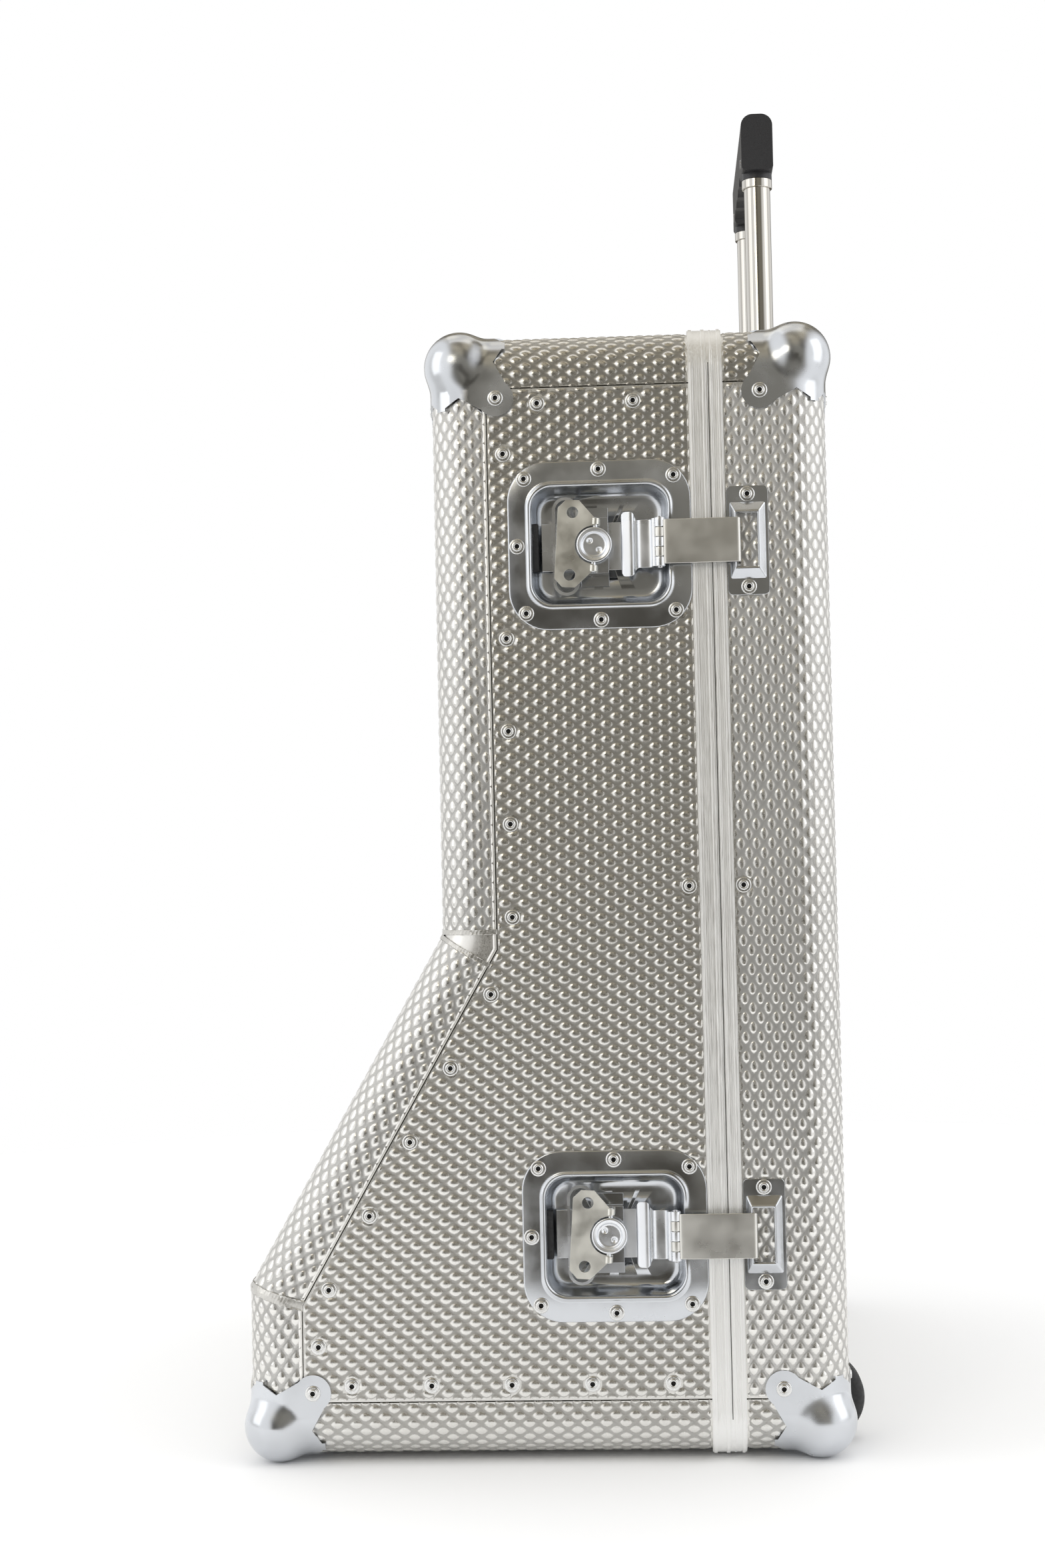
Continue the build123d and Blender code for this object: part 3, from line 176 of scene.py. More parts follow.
# Working on the carried-over forms
def part_shape(node):
    """A carried-over part's form to work on, in the world's frame and with its corners joined."""
    source = NODES[node]
    shape = bmesh.new()
    shape.from_mesh(source.data)
    shape.transform(source.matrix_world)
    bmesh.ops.remove_doubles(shape, verts=shape.verts, dist=1e-6)
    return shape


def slice_shape(shape, axis, places):
    """Cuts a shape's faces along planes across an axis, so that it can be bent there."""
    normal = Vector([float(i == axis) for i in range(3)])
    for place in places:
        geom = shape.verts[:] + shape.edges[:] + shape.faces[:]
        bmesh.ops.bisect_plane(shape, geom=geom, plane_co=normal * float(place), plane_no=normal, dist=1e-7)


def round_edges(shape, width, segments, fold):
    """Rounds the edges that fold by more than an angle in degrees."""
    bmesh.ops.dissolve_limit(shape, angle_limit=radians(0.4), verts=shape.verts, edges=shape.edges)
    sharp = [edge for edge in shape.edges if edge.is_manifold and edge.calc_face_angle(0) > radians(fold)]
    bmesh.ops.bevel(shape, geom=sharp, offset=width, segments=segments, profile=0.5, affect="EDGES",
                    clamp_overlap=True)


def shape_mesh(shape, node):
    """The mesh of a part's finished piece, from its worked shape."""
    mesh = bpy.data.meshes.new(f"{node}_finished")
    shape.to_mesh(mesh)
    shape.free()
    return mesh


# Sheet relief: raised leaf shapes in staggered columns
class Path:
    """A 2-D line of straight runs and quarter bends, read by the distance along it."""

    def __init__(self, start, angle, runs, side=1):
        self.runs, self.side = [], side
        place, along = np.array(start, float), 0.0
        for kind, size in runs:
            length = size if kind == "line" else size * pi / 2
            self.runs.append((along, along + length, place.copy(), angle, kind, size))
            if kind == "line":
                place = place + size * np.array([cos(angle), sin(angle)])
            else:
                inward = side * np.array([-sin(angle), cos(angle)])
                centre = place + inward * size
                angle += side * pi / 2
                place = centre - size * side * np.array([-sin(angle), cos(angle)])
            along += length
        self.length = along

    def at(self, distance):
        """Points, and the unit vectors into the case, at an array of distances."""
        point = np.zeros(distance.shape + (2,))
        inward = np.zeros_like(point)
        for i, (first, _, place, angle, kind, size) in enumerate(self.runs):
            inside = (distance >= first) if i else np.ones_like(distance, bool)
            step = distance[inside] - first
            turn = np.full(step.shape, angle)
            if kind == "bend":
                turn = angle + self.side * step / size
            into = self.side * np.stack([-np.sin(turn), np.cos(turn)], -1)
            if kind == "line":
                point[inside] = place + step[:, None] * np.array([cos(angle), sin(angle)])
            else:
                first_in = self.side * np.array([-sin(angle), cos(angle)])
                point[inside] = place + first_in * size - into * size
            inward[inside] = into
        return point, inward


CROWN = 0.6              # share of a leaf's half width where its shoulder line runs
LEAST_SWELL = 0.00025


def leaf_lattice(length, width):
    """Distances along and across a sheet, and the height of its leaf relief, as arrays."""
    sizes = bpy.context.scene.case_relief
    pitch, row, reach, swell, height = sizes.pitch, sizes.row, sizes.reach, sizes.swell, sizes.height
    tip = reach / pitch
    steps = np.array([0, 0.5 - tip, 0.25, tip, 0.5, 1 - tip, 0.75, 0.5 + tip])
    repeats = np.arange(int(np.ceil(length / pitch)) + 1)[:, None]
    along = np.sort(((repeats + np.sort(steps)) * pitch).ravel())
    along = np.append(along[along < length - 0.0002], length)
    lines, heights = [], []
    for k in range(int(np.ceil(width / row))):
        places = []
        for phase in (k % 2, (k + 1) % 2):
            step = np.abs((along / pitch + phase / 2 + 0.5) % 1 - 0.5) * pitch
            ridge = np.clip(1 - (step / reach) ** 2, 0, 1)
            places.append((np.maximum(swell * ridge, LEAST_SWELL)[:, None], (height * ridge)[:, None]))
        (half, top), (next_half, next_top) = places
        start, end = k * row, (k + 1) * row
        shoulder = 1 - CROWN ** 2
        lines += [start + 0 * half, start + CROWN * half, start + half,
                  end - next_half, end - CROWN * next_half]
        heights += [top, shoulder * top, 0 * top, 0 * top, shoulder * next_top]
    lines.append(np.full_like(half, width))
    heights.append(next_top)
    across = np.concatenate(lines, 1)
    along = np.broadcast_to(along[:, None], across.shape)
    return along, np.minimum(across, width), np.concatenate(heights, 1)


def rivet_clearance(body):
    """Clearance from the rivet heads of the lid or the tray."""
    seats = np.array([(points.min(0) + points.max(0)) / 2 for points in solids(f"{body}_rivets")])
    reach, near = 0.0044, 0.006

    def clearance(point, along, across):
        best = np.full(along.shape, 1.0)
        beside = (seats > point.min((0, 1)) - near) & (seats < point.max((0, 1)) + near)
        for seat in seats[beside.all(1)]:
            best = np.minimum(best, np.linalg.norm(point - seat, axis=-1) - reach)
        return best
    return clearance


FADE = 0.0016            # over which the relief sinks in beside an edge
GROUND_LIFT = 0.00004
SINK = 0.0003


def relief_piece(name, body, length, width, place, clearances, trim=None):
    """The raised skin of one sheet. It sinks into the sheet wherever it has no clearance."""
    along, across, heights = leaf_lattice(length, width)
    point, outward = place(along, across)
    margin = np.full(along.shape, 1.0)
    for clearance in [*clearances, rivet_clearance(body)]:
        margin = np.minimum(margin, clearance(point, along, across))
    share = np.clip(margin / FADE, 0, 1)
    share = share * share * (3 - 2 * share)
    lift = (GROUND_LIFT + heights) * share - SINK * (1 - share)
    uv = np.stack([along, across], -1)
    if trim:
        point = trim(point)
    relief = heights * share / heights.max()
    mesh = grid_mesh(name, point + outward * lift[..., None], margin > -0.001, uv, relief)
    return new_piece(name, mesh, body, FINISH["dimpled_aluminium"])


def wrap_place(path, flange):
    """Places points on a bent sheet whose run is a path in the XZ plane."""
    straight, bend = ("line", flange - EDGE_R), ("bend", EDGE_R)
    middle = ("line", 2 * (WRAP - EDGE_R))
    profile = Path((-WRAP, flange), -pi / 2, [straight, bend, middle, bend, straight])

    def place(along, across):
        edge, inward = path.at(along)
        cut, cut_in = profile.at(across)
        y, depth = cut[..., 0] + MID_Y, cut[..., 1:]
        x, z = np.moveaxis(edge + inward * depth, -1, 0)
        out_x, out_z = np.moveaxis(-inward * cut_in[..., 1:], -1, 0)
        return np.stack([x, y, z], -1), np.stack([out_x, -cut_in[..., 0], out_z], -1)

    return place, profile.length


def ends(length, width):
    """Clearance from the four edges of a sheet."""
    def clearance(point, along, across):
        return np.minimum(np.minimum(along, length - along), np.minimum(across, width - across))
    return clearance


def beyond_mitre(sign):
    """Clearance from the mitre plane at the outward bend."""
    half = SLOPE / 2
    normal = sign * np.array([sin(half), 0, cos(half)])

    def clearance(point, along, across):
        return (point - np.array([BEND_D[0], 0, BEND_D[1]])) @ normal
    return clearance


WHEEL_SLOT = (0.013, 0.0295, 0.031)     # half width, and reach inwards and upwards from the axle
TUBE_HOLE_R = 0.014


def clear_of_wheels(point, along, across):
    """Clearance from the two openings for the wheels."""
    best = np.full(along.shape, 1.0)
    half_width, inwards, upwards = WHEEL_SLOT
    for node in ("near_wheel_tyre", "far_wheel_tyre"):
        a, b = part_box(node)
        y, x, z = (a.y + b.y) / 2, (a.x + b.x) / 2, (a.z + b.z) / 2
        outside = np.maximum(np.abs(point[..., 1] - y) - half_width, x - inwards - point[..., 0])
        best = np.minimum(best, np.maximum(outside, point[..., 2] - z - upwards))
    return best


def clear_of_tubes(point, along, across):
    """Clearance from the holes where the handle's tubes come out."""
    best = np.full(along.shape, 1.0)
    a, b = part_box("handle_tubes")
    x, r = (a.x + b.x) / 2, (b.x - a.x) / 2
    for y in (a.y + r, b.y - r):
        best = np.minimum(best, np.hypot(point[..., 0] - x, point[..., 1] - y) - TUBE_HOLE_R)
    return best


def flat_at(y, outward):
    """Places a panel's leaves along X."""
    def place(along, across):
        point = np.stack([LID_FOOT_X + SEAM + along, np.full(along.shape, y), BASE_Z + SEAM + across], -1)
        return point, np.broadcast_to(np.array([0.0, outward, 0.0]), point.shape)
    return place


def within_panel(point, along, across):
    """Clearance from the outline of a lid side panel."""
    x, z = point[..., 0], point[..., 2]
    on_slope = (x - BEND_C[0]) * cos(SLOPE) - (z - BEND_C[1]) * sin(SLOPE) - SEAM
    left = np.minimum(np.maximum(on_slope, x - LID_TOP_X - SEAM), x - LID_FOOT_X - SEAM)
    return np.minimum(left, np.minimum(LID_EDGE_X - x, TOP_Z - SEAM - z))


def onto_panel(point):
    """Points beyond the stepped outline of a lid side panel, moved onto its edge."""
    on_slope = BEND_C[0] + ((point[..., 2] - BEND_C[1]) * sin(SLOPE) + SEAM) / cos(SLOPE)
    edge = np.maximum(LID_FOOT_X + SEAM, np.minimum(LID_TOP_X + SEAM, on_slope))
    return np.stack([np.maximum(point[..., 0], edge), point[..., 1], point[..., 2]], -1)


def clear_of_dishes(point, along, across):
    """Clearance from the middle of the latch dishes, whose flanges hide the skin's edge."""
    best = np.full(along.shape, 1.0)
    cover = 0.008
    for name in LATCHES:
        a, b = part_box(f"{name}_latch_dish")
        inside = np.minimum(np.minimum(point[..., 0] - a.x, b.x - point[..., 0]),
                            np.minimum(point[..., 2] - a.z, b.z - point[..., 2]))
        best = np.minimum(best, cover - inside)
    return best


def build_wraps():
    """The relief of every bent sheet of the lid and of the tray's two caps."""
    front_run = TOP_Z - BEND_C[1] - EDGE_R
    slope_run = sqrt((BEND_C[0] - BEND_D[0]) ** 2 + (BEND_C[1] - BEND_D[1]) ** 2)
    foot_run = BEND_D[1] - BASE_Z - EDGE_R
    bend = ("bend", EDGE_R)
    cap_runs = [("line", TRAY_X - SHEET - EDGE_R - TRAY_EDGE_X), bend, ("line", SEAM - EDGE_R)]
    rows = [
        ("lid_top_relief", "lid", (LID_EDGE_X, TOP_Z), pi,
         [("line", LID_EDGE_X - LID_TOP_X - EDGE_R)], 1, []),
        ("lid_front_relief", "lid", (LID_TOP_X + EDGE_R, TOP_Z), pi, [bend, ("line", front_run)], 1, []),
        ("lid_slope_relief", "lid", BEND_C, -pi / 2 - SLOPE, [("line", slope_run)], 1, [beyond_mitre(1)]),
        ("lid_foot_relief", "lid", BEND_D, -pi / 2, [("line", foot_run), bend], 1, [beyond_mitre(-1)]),
        ("lid_bottom_relief", "lid", (LID_FOOT_X + EDGE_R, BASE_Z), 0,
         [("line", LID_EDGE_X - LID_FOOT_X - EDGE_R)], 1, []),
        ("tray_top_relief", "tray", (TRAY_EDGE_X, TOP_Z), 0, cap_runs, -1, [clear_of_tubes]),
        ("tray_bottom_relief", "tray", (TRAY_EDGE_X, BASE_Z), 0, cap_runs, 1, [clear_of_wheels]),
    ]
    for name, body, start, angle, runs, side, extra in rows:
        path = Path(start, angle, runs, side)
        place, width = wrap_place(path, SEAM)
        bends = [run for run in path.runs if run[4] == "bend"]

        def shallow(point, along, across, bends=bends):
            """In a rounded corner the flange stops where the bend has no radius left."""
            best = np.full(along.shape, 1.0)
            for first, last, *_ in bends:
                in_bend = np.minimum(along - first, last - along) > -0.0005
                flat = np.minimum(across, width - across) - (SEAM - EDGE_R)
                best = np.where(in_bend, np.minimum(best, flat), best)
            return best

        relief_piece(name, body, path.length, width, place, [ends(path.length, width), shallow, *extra])


def build_tray_face():
    """The relief of the sheet bent round the tray's face and both its sides, in three lengths."""
    outer_r = EDGE_R + SHEET
    side, bend = ("line", TRAY_X - outer_r - TRAY_EDGE_X), ("bend", outer_r)
    profile = Path((TRAY_EDGE_X, -HALF), 0, [side, bend, ("line", 2 * (HALF - outer_r)), bend, side])
    run = TOP_Z - BASE_Z - 2 * SEAM
    total = profile.length
    row = bpy.context.scene.case_relief.row * 2
    cuts = [0.0, row * round(total / 3 / row), row * round(2 * total / 3 / row), total]
    for label, start, stop in zip(("near", "middle", "far"), cuts, cuts[1:]):
        def place(along, across, start=start):
            cut, inward = profile.at(across + start)
            point = np.stack([cut[..., 0], cut[..., 1] + MID_Y, BASE_Z + SEAM + along], -1)
            return point, np.stack([-inward[..., 0], -inward[..., 1], np.zeros(along.shape)], -1)

        def edges(point, along, across, start=start):
            sides = np.minimum(across + start, total - across - start)
            return np.minimum(sides, np.minimum(along, run - along))

        relief_piece(f"tray_face_relief_{label}", "tray", run, stop - start, place, [edges, clear_of_wheels])


def build_panels():
    """The relief of the lid's two flat sides."""
    length, width = LID_EDGE_X - LID_FOOT_X - SEAM, TOP_Z - BASE_Z - 2 * SEAM
    edges = [within_panel, ends(length, width)]
    for name, y, outward, extra in (("latched", NEAR_Y, -1, [clear_of_dishes]), ("hinged", FAR_Y, 1, [])):
        place = flat_at(y, outward)
        relief_piece(f"lid_{name}_relief", "lid", length, width, place, [*edges, *extra], onto_panel)


def panel_outline(inset):
    """The outline of a lid side panel in the XZ plane, at a distance inside the sheets."""
    corners = [(LID_EDGE_X, TOP_Z - inset), (LID_TOP_X + inset, TOP_Z - inset)]
    for x in (LID_TOP_X + inset, LID_FOOT_X + inset):
        corners.append((x, BEND_C[1] + ((x - BEND_C[0]) * cos(SLOPE) - inset) / sin(SLOPE)))
    return corners + [(LID_FOOT_X + inset, BASE_Z + inset), (LID_EDGE_X, BASE_Z + inset)]


# Distance from a panel's edge and height over the folded sheet of that sheet's turned edge, in millimetres
TURNED_EDGE = ((0.7, 0.05), (0.9, 0.35), (1.3, 0.5), (1.9, 0.42), (2.5, 0.2), (2.9, 0.0))


def build_joints():
    """Painted shade of the open joints where the flat and folded sheets meet, as dark strips on the sheets,
    and the folded sheets' turned edges, lighter in colour as a painted highlight.
    """
    wide, lift = 0.0011, 0.00008
    for name, side in (("near", -1), ("far", 1)):
        # Near-black strip just over the sheets along the panel outline: painted shade of the open joint
        y = MID_Y + side * (WRAP + lift)
        rows = [[(x, y, z) for x, z in panel_outline(inset)] for inset in (SEAM, SEAM - wide)]
        mesh = grid_mesh(f"lid_{name}_joint_shade", np.array(rows))
        new_piece(mesh.name, mesh, "lid", FINISH["joint_shade"], smooth=False)
        # Raised turned edge of the folded sheet: a real rounded relief in a colour lighter than the sheet,
        # which is a painted highlight
        rows = [[(x, MID_Y + side * (WRAP + up / 1000), z) for x, z in panel_outline(SEAM - away / 1000)[1:5]]
                for away, up in TURNED_EDGE]
        mesh = grid_mesh(f"lid_{name}_turned_edge_highlight", np.array(rows))
        new_piece(mesh.name, mesh, "lid", FINISH["turned_edge_highlight"])
    straight = ("line", TRAY_X - SHEET - EDGE_R - TRAY_EDGE_X)
    bend = ("bend", EDGE_R + lift)
    middle = ("line", 2 * (WRAP - EDGE_R))
    inner = Path((TRAY_EDGE_X, -WRAP - lift), 0, [straight, bend, middle, bend, straight])
    cut, _ = inner.at(np.linspace(0, inner.length, 200))
    # Near-black strips round the tray's caps: painted shade of the open joints
    for name, z, side in (("top", TOP_Z - SEAM, 1), ("bottom", BASE_Z + SEAM, -1)):
        rows = [[(x, y + MID_Y, z + side * out) for x, y in cut] for out in (0, wide)]
        mesh = grid_mesh(f"tray_{name}_joint_shade", np.array(rows))
        new_piece(mesh.name, mesh, "tray", FINISH["joint_shade"], smooth=False)


# Hardware
def solids(node):
    """The corner points of each separate solid of a carried-over part, as arrays."""
    shape = part_shape(node)
    left, groups = set(shape.verts), []
    while left:
        reach, group = [left.pop()], []
        while reach:
            vert = reach.pop()
            group.append(vert.co[:])
            for edge in vert.link_edges:
                other = edge.other_vert(vert)
                if other in left:
                    left.remove(other)
                    reach.append(other)
        groups.append(np.array(group))
    shape.free()
    return groups


def settle_normals(piece, mesh, fold):
    """Smooth shading that keeps flat faces flat and folds sharper than an angle crisp."""
    mesh.polygons.foreach_set("use_smooth", np.ones(len(mesh.polygons), bool))
    mesh.set_sharp_from_angle(angle=radians(fold))
    normals = piece.modifiers.new("Normals", "WEIGHTED_NORMAL")
    normals.keep_sharp = True


def softened(node, width, segments=2, fold=28.0, finish=None):
    """A piece in the form of a carried-over part, its edges rounded like pressed or moulded ones."""
    shape = part_shape(node)
    round_edges(shape, width, segments, fold)
    mesh = shape_mesh(shape, node)
    body = body_of(NODES[node])[0]
    piece = new_piece(mesh.name, mesh, body, FINISH[finish or SLOTS[node]], smooth=False)
    settle_normals(piece, mesh, 50)
    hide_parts(node)
    return piece


def ring_faces(rings, count, start=0, closed=True):
    """Quads between rings of points, each ring with the same count."""
    faces = []
    for i in range(rings - 1):
        for j in range(count if closed else count - 1):
            k = (j + 1) % count
            a, b = start + i * count, start + (i + 1) * count
            faces.append((a + j, b + j, b + k, a + k))
    return faces


# Radius and height of a blind rivet's head over its seat, in millimetres
RIVET_PROFILE = ((4.75, 0.02), (4.73, 0.4), (4.5, 0.75), (4.1, 0.92), (3.5, 0.98), (3.1, 0.94), (2.95, 1.05),
                 (2.8, 1.45), (2.5, 1.75), (2.1, 1.8), (1.75, 1.7), (1.45, 1.45), (1.3, 1.1), (1.28, 0.1))
RIVET_CORE = ((1.3, 1.0), (1.22, 0.4), (0.7, 0.15), (0.02, 0.1))


def build_rivets(node, body):
    """Domed heads with a raised rim round a hollow core, one on each carried-over rivet. The core is
    near-black, which is painted shade in the hole.
    """
    turn = np.linspace(0, 2 * pi, 28, endpoint=False)
    vertices, faces, shaded_cores, core_faces = [], [], [], []
    for points in solids(node):
        middle = (points.min(0) + points.max(0)) / 2
        axis = int(np.argmin(np.ptp(points, axis=0)))
        across = [i for i in range(3) if i != axis]
        wide = np.hypot(*(points - middle)[:, across].T) > 0.0045
        outward = 1.0 if points[wide, axis].mean() > middle[axis] else -1.0
        seat = (points[wide, axis] * outward).min() * outward
        start = len(vertices)
        core_faces += ring_faces(len(RIVET_CORE), len(turn), len(shaded_cores))
        for radius, height in RIVET_PROFILE + RIVET_CORE:
            ring = np.tile(middle, (len(turn), 1))
            ring[:, across[0]] += radius / 1000 * np.cos(turn) * outward * (1 if axis != 1 else -1)
            ring[:, across[1]] += radius / 1000 * np.sin(turn)
            ring[:, axis] = seat + outward * height / 1000
            (shaded_cores if (radius, height) in RIVET_CORE else vertices).extend(ring.tolist())
        faces += ring_faces(len(RIVET_PROFILE), len(turn), start)
    piece = new_piece(f"{node}_finished", mesh_from(f"{node}_finished", vertices, faces), body,
                      FINISH["rivet_metal"])
    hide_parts(node)
    # Near-black cores: painted shade inside the rivets' hollows
    new_piece(f"{node}_cores", mesh_from(f"{node}_cores", shaded_cores, core_faces), body,
              FINISH["rivet_hole_shade"])


def rounded_loop(width, height, radius, per_corner=12, per_side=16):
    """Points round a rectangle with rounded corners, the same number for every size."""
    corners = ((1, 1, 0), (-1, 1, pi / 2), (-1, -1, pi), (1, -1, 3 * pi / 2))
    arcs = []
    for sx, sz, start in corners:
        turn = start + np.linspace(0, pi / 2, per_corner)
        arcs.append(np.stack([sx * (width / 2 - radius) + radius * np.cos(turn),
                              sz * (height / 2 - radius) + radius * np.sin(turn)], -1))
    points = []
    for arc, following in zip(arcs, arcs[1:] + arcs[:1]):
        steps = np.linspace(0, 1, per_side + 2)[1:-1, None]
        points += [arc, arc[-1] + (following[0] - arc[-1]) * steps]
    return np.concatenate(points)


# Width, height and corner radius of a latch dish at each depth from the panel, in millimetres
DISH_PROFILE = ((111.2, 102.4, 24.0, -0.02), (111.2, 102.4, 24.0, -0.6), (110.6, 101.8, 23.7, -1.05),
                (109.4, 100.6, 23.1, -1.2), (90.6, 79.2, 15.6, -1.2), (88.9, 77.5, 15.0, -1.28),
                (87.7, 76.3, 14.6, -1.65), (86.7, 75.3, 14.2, -2.1), (85.5, 74.1, 13.8, -2.28),
                (84.3, 72.9, 13.4, -2.1), (83.1, 71.7, 13.1, -1.5), (82.3, 70.9, 13.0, -0.5),
                (81.9, 70.4, 13.0, 0.9), (80.9, 69.4, 12.7, 4.0), (79.3, 67.8, 12.3, 7.8),
                (77.4, 65.9, 11.8, 10.6), (74.4, 62.9, 10.9, 12.3), (70.4, 58.9, 9.8, 12.95),
                (64.0, 52.0, 8.0, 13.0), (30.0, 20.0, 2.5, 13.0))
LIP_GAP = ((35.0, 50.0), 16.4)     # where the lip is pressed flat for the strap's barrel
DISH_FACE = -1.2


def build_dish(name):
    """Pressed dish: flat flange, rolled lip, drawn walls and floor."""
    node = f"{name}_latch_dish"
    a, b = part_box(node)
    middle = ((a.x + b.x) / 2, (a.z + b.z) / 2)
    vertices = []
    for width, height, radius, depth in DISH_PROFILE:
        loop = rounded_loop(width, height, radius)
        in_gap = np.clip((LIP_GAP[1] + 3 - np.abs(loop[:, 1])) / 3, 0, 1) * (loop[:, 0] > LIP_GAP[0][0])
        deep = np.where((loop[:, 0] < LIP_GAP[0][1]), depth + in_gap * (max(depth, DISH_FACE) - depth), depth)
        vertices += [(middle[0] + x / 1000, NEAR_Y + d / 1000, middle[1] + z / 1000)
                     for (x, z), d in zip(loop, deep)]
    count = len(vertices) // len(DISH_PROFILE)
    faces = ring_faces(len(DISH_PROFILE), count)
    faces.append(tuple(range(len(vertices) - count, len(vertices))))
    piece = new_piece(f"{node}_finished", mesh_from(f"{node}_finished", vertices, faces), "lid",
                      FINISH["zinc_plate"])
    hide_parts(node)


# Width, height, corner radius and depth of a keeper: plate, raised frame and window, in millimetres
KEEPER_PROFILE = ((25.0, 66.0, 3.0, -0.05), (25.0, 66.0, 3.0, -1.2), (24.5, 65.5, 2.8, -1.5),
                  (21.4, 46.2, 1.2, -1.5), (21.0, 45.6, 1.1, -1.8), (15.4, 36.0, 0.9, -5.5),
                  (14.7, 34.9, 0.9, -5.85), (14.0, 34.0, 0.9, -5.95), (13.2, 33.0, 0.9, -5.75),
                  (12.6, 32.3, 0.9, -5.2), (12.4, 32.0, 0.9, -4.4), (12.4, 32.0, 0.9, -0.1))
KEEPER_BOSS = (21.4, 14.0)      # width of the raised frame at its foot and at its crest
KEEPER_LEAN = 0.7               # by which the crest is set off across the keeper


def build_keepers():
    """Keepers: a flat plate with a raised, bevelled frame round the hook's window."""
    vertices, faces = [], []
    for points in solids("keepers"):
        middle = (points.min(0) + points.max(0)) / 2
        start = len(vertices)
        for width, height, radius, depth in KEEPER_PROFILE:
            foot, crest = KEEPER_BOSS
            shift = -KEEPER_LEAN * min(max(foot - width, 0.0), foot - crest) / (foot - crest)
            vertices += [(middle[0] + (x + shift) / 1000, NEAR_Y + depth / 1000, middle[2] + z / 1000)
                         for x, z in rounded_loop(width, height, radius, per_corner=8, per_side=6)]
        faces += ring_faces(len(KEEPER_PROFILE), (len(vertices) - start) // len(KEEPER_PROFILE), start)
    mesh = mesh_from("keepers_finished", vertices, faces)
    piece = new_piece(mesh.name, mesh, "tray", FINISH["zinc_plate"], smooth=False)
    settle_normals(piece, mesh, 24)
    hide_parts("keepers")


BALL_R = 0.022
BALL_MIDDLE = 0.0175     # from each outer face of the case
CORNER_T = 0.0015
BALL_BLEND = 0.0035
CORNER_REACH = 0.056     # of a corner's plates from the outer faces
CORNER_CELL = 0.0026


def corner_field(points):
    """Distance from a ball corner's skin, blended and plain, with the case's own corner at the origin."""
    radius = EDGE_R + CORNER_T
    off = np.minimum(points + CORNER_T - radius, 0)
    skin = np.linalg.norm(off, axis=1) - radius
    ball = np.linalg.norm(points - BALL_MIDDLE, axis=1) - BALL_R
    blend = np.maximum(BALL_BLEND - np.abs(skin - ball), 0) / BALL_BLEND
    return np.minimum(skin, ball) - blend * blend * BALL_BLEND / 4, np.minimum(skin, ball)


def corner_slope(points):
    small = 1e-5
    columns = [corner_field(points + step)[0] - corner_field(points - step)[0] for step in np.eye(3) * small]
    slope = np.stack(columns, -1)
    return slope / np.maximum(np.linalg.norm(slope, axis=1, keepdims=True), 1e-12)


def build_ball_corners(half):
    """Pressed corners: the ball flows into its plates and the edges are rounded over."""
    node = f"{half}_ball_corners"
    shape = part_shape(node)
    lowest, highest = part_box(node)
    steps = np.arange(CORNER_CELL, CORNER_REACH, CORNER_CELL)
    for axis in range(3):
        low, high = lowest[axis], highest[axis]
        slice_shape(shape, axis, [place for step in steps for place in (low + step, high - step)])
    bmesh.ops.triangulate(shape, faces=shape.faces[:])
    mesh = shape_mesh(shape, node)
    points = np.zeros(len(mesh.vertices) * 3)
    mesh.vertices.foreach_get("co", points)
    points = points.reshape(-1, 3)
    middle = (points.min(0) + points.max(0)) / 2
    top = points[:, 2] > middle[2]
    if half == "lid":
        face_x, sign_x = np.where(top, LID_TOP_X, LID_FOOT_X), 1.0
    else:
        face_x, sign_x = np.full(len(points), TRAY_X), -1.0
    face_y = np.where(points[:, 1] < MID_Y, NEAR_Y, FAR_Y)
    face_z = np.where(top, TOP_Z, BASE_Z)
    signs = np.stack([np.full(len(points), sign_x), np.where(points[:, 1] < MID_Y, 1.0, -1.0),
                      np.where(top, -1.0, 1.0)], -1)
    origin = np.stack([face_x, face_y, face_z], -1)
    local = (points - origin) * signs
    outer = np.abs(corner_field(local)[1]) < 0.0004
    moved = local[outer]
    for _ in range(4):
        moved = moved - corner_field(moved)[0][:, None] * corner_slope(moved)
    local[outer] = moved
    skin = corner_slope(local) * signs
    mesh.vertices.foreach_set("co", (origin + local * signs).astype(np.float32).ravel())
    mesh.update()
    piece = new_piece(mesh.name, mesh, half, FINISH["zinc_plate"])
    corners = np.array([loop.vertex_index for loop in mesh.loops])
    normals = np.repeat(np.array([face.normal[:] for face in mesh.polygons]), 3, axis=0)
    follows = outer[corners] & ((skin[corners] * normals).sum(1) > 0.6)
    normals[follows] = skin[corners][follows]
    mesh.normals_split_custom_set(normals.tolist())
    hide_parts(node)


# Pull plate and strap: across, depth and half height of the plate's middle line, in millimetres
PULL_LINE = ((-35.4, 9.8, 14.6), (11.6, 9.8, 14.6), (14.4, 9.6, 14.6), (14.3, 6.4, 14.9), (13.4, 3.8, 16.2),
             (14.0, 3.0, 19.2), (15.6, 2.4, 19.8), (19.9, 1.1, 19.6), (20.6, 3.6, 17.0), (22.6, 4.2, 14.6),
             (23.6, 2.2, 14.6), (26.0, 1.8, 14.6), (30.6, 1.8, 14.6), (31.9, 0.6, 14.6), (31.9, -3.4, 14.6),
             (32.6, -4.6, 14.6), (34.0, -4.8, 14.6))
STRAP_LINE = ((38.9, -6.6, 13.4), (40.2, -7.2, 13.4), (60.0, -7.25, 13.4), (80.4, -7.3, 13.4),
              (83.9, -7.2, 13.4), (84.4, -5.4, 13.3), (84.4, -2.8, 13.2))
PLATE = 0.0014
BARREL = (36.3, -4.8, 3.2, 14.9)     # across, depth, radius and half length of the strap's hinge
KNUCKLE_GAP = 0.12
BOSS_X = -3.4
TILT = radians(4.0)


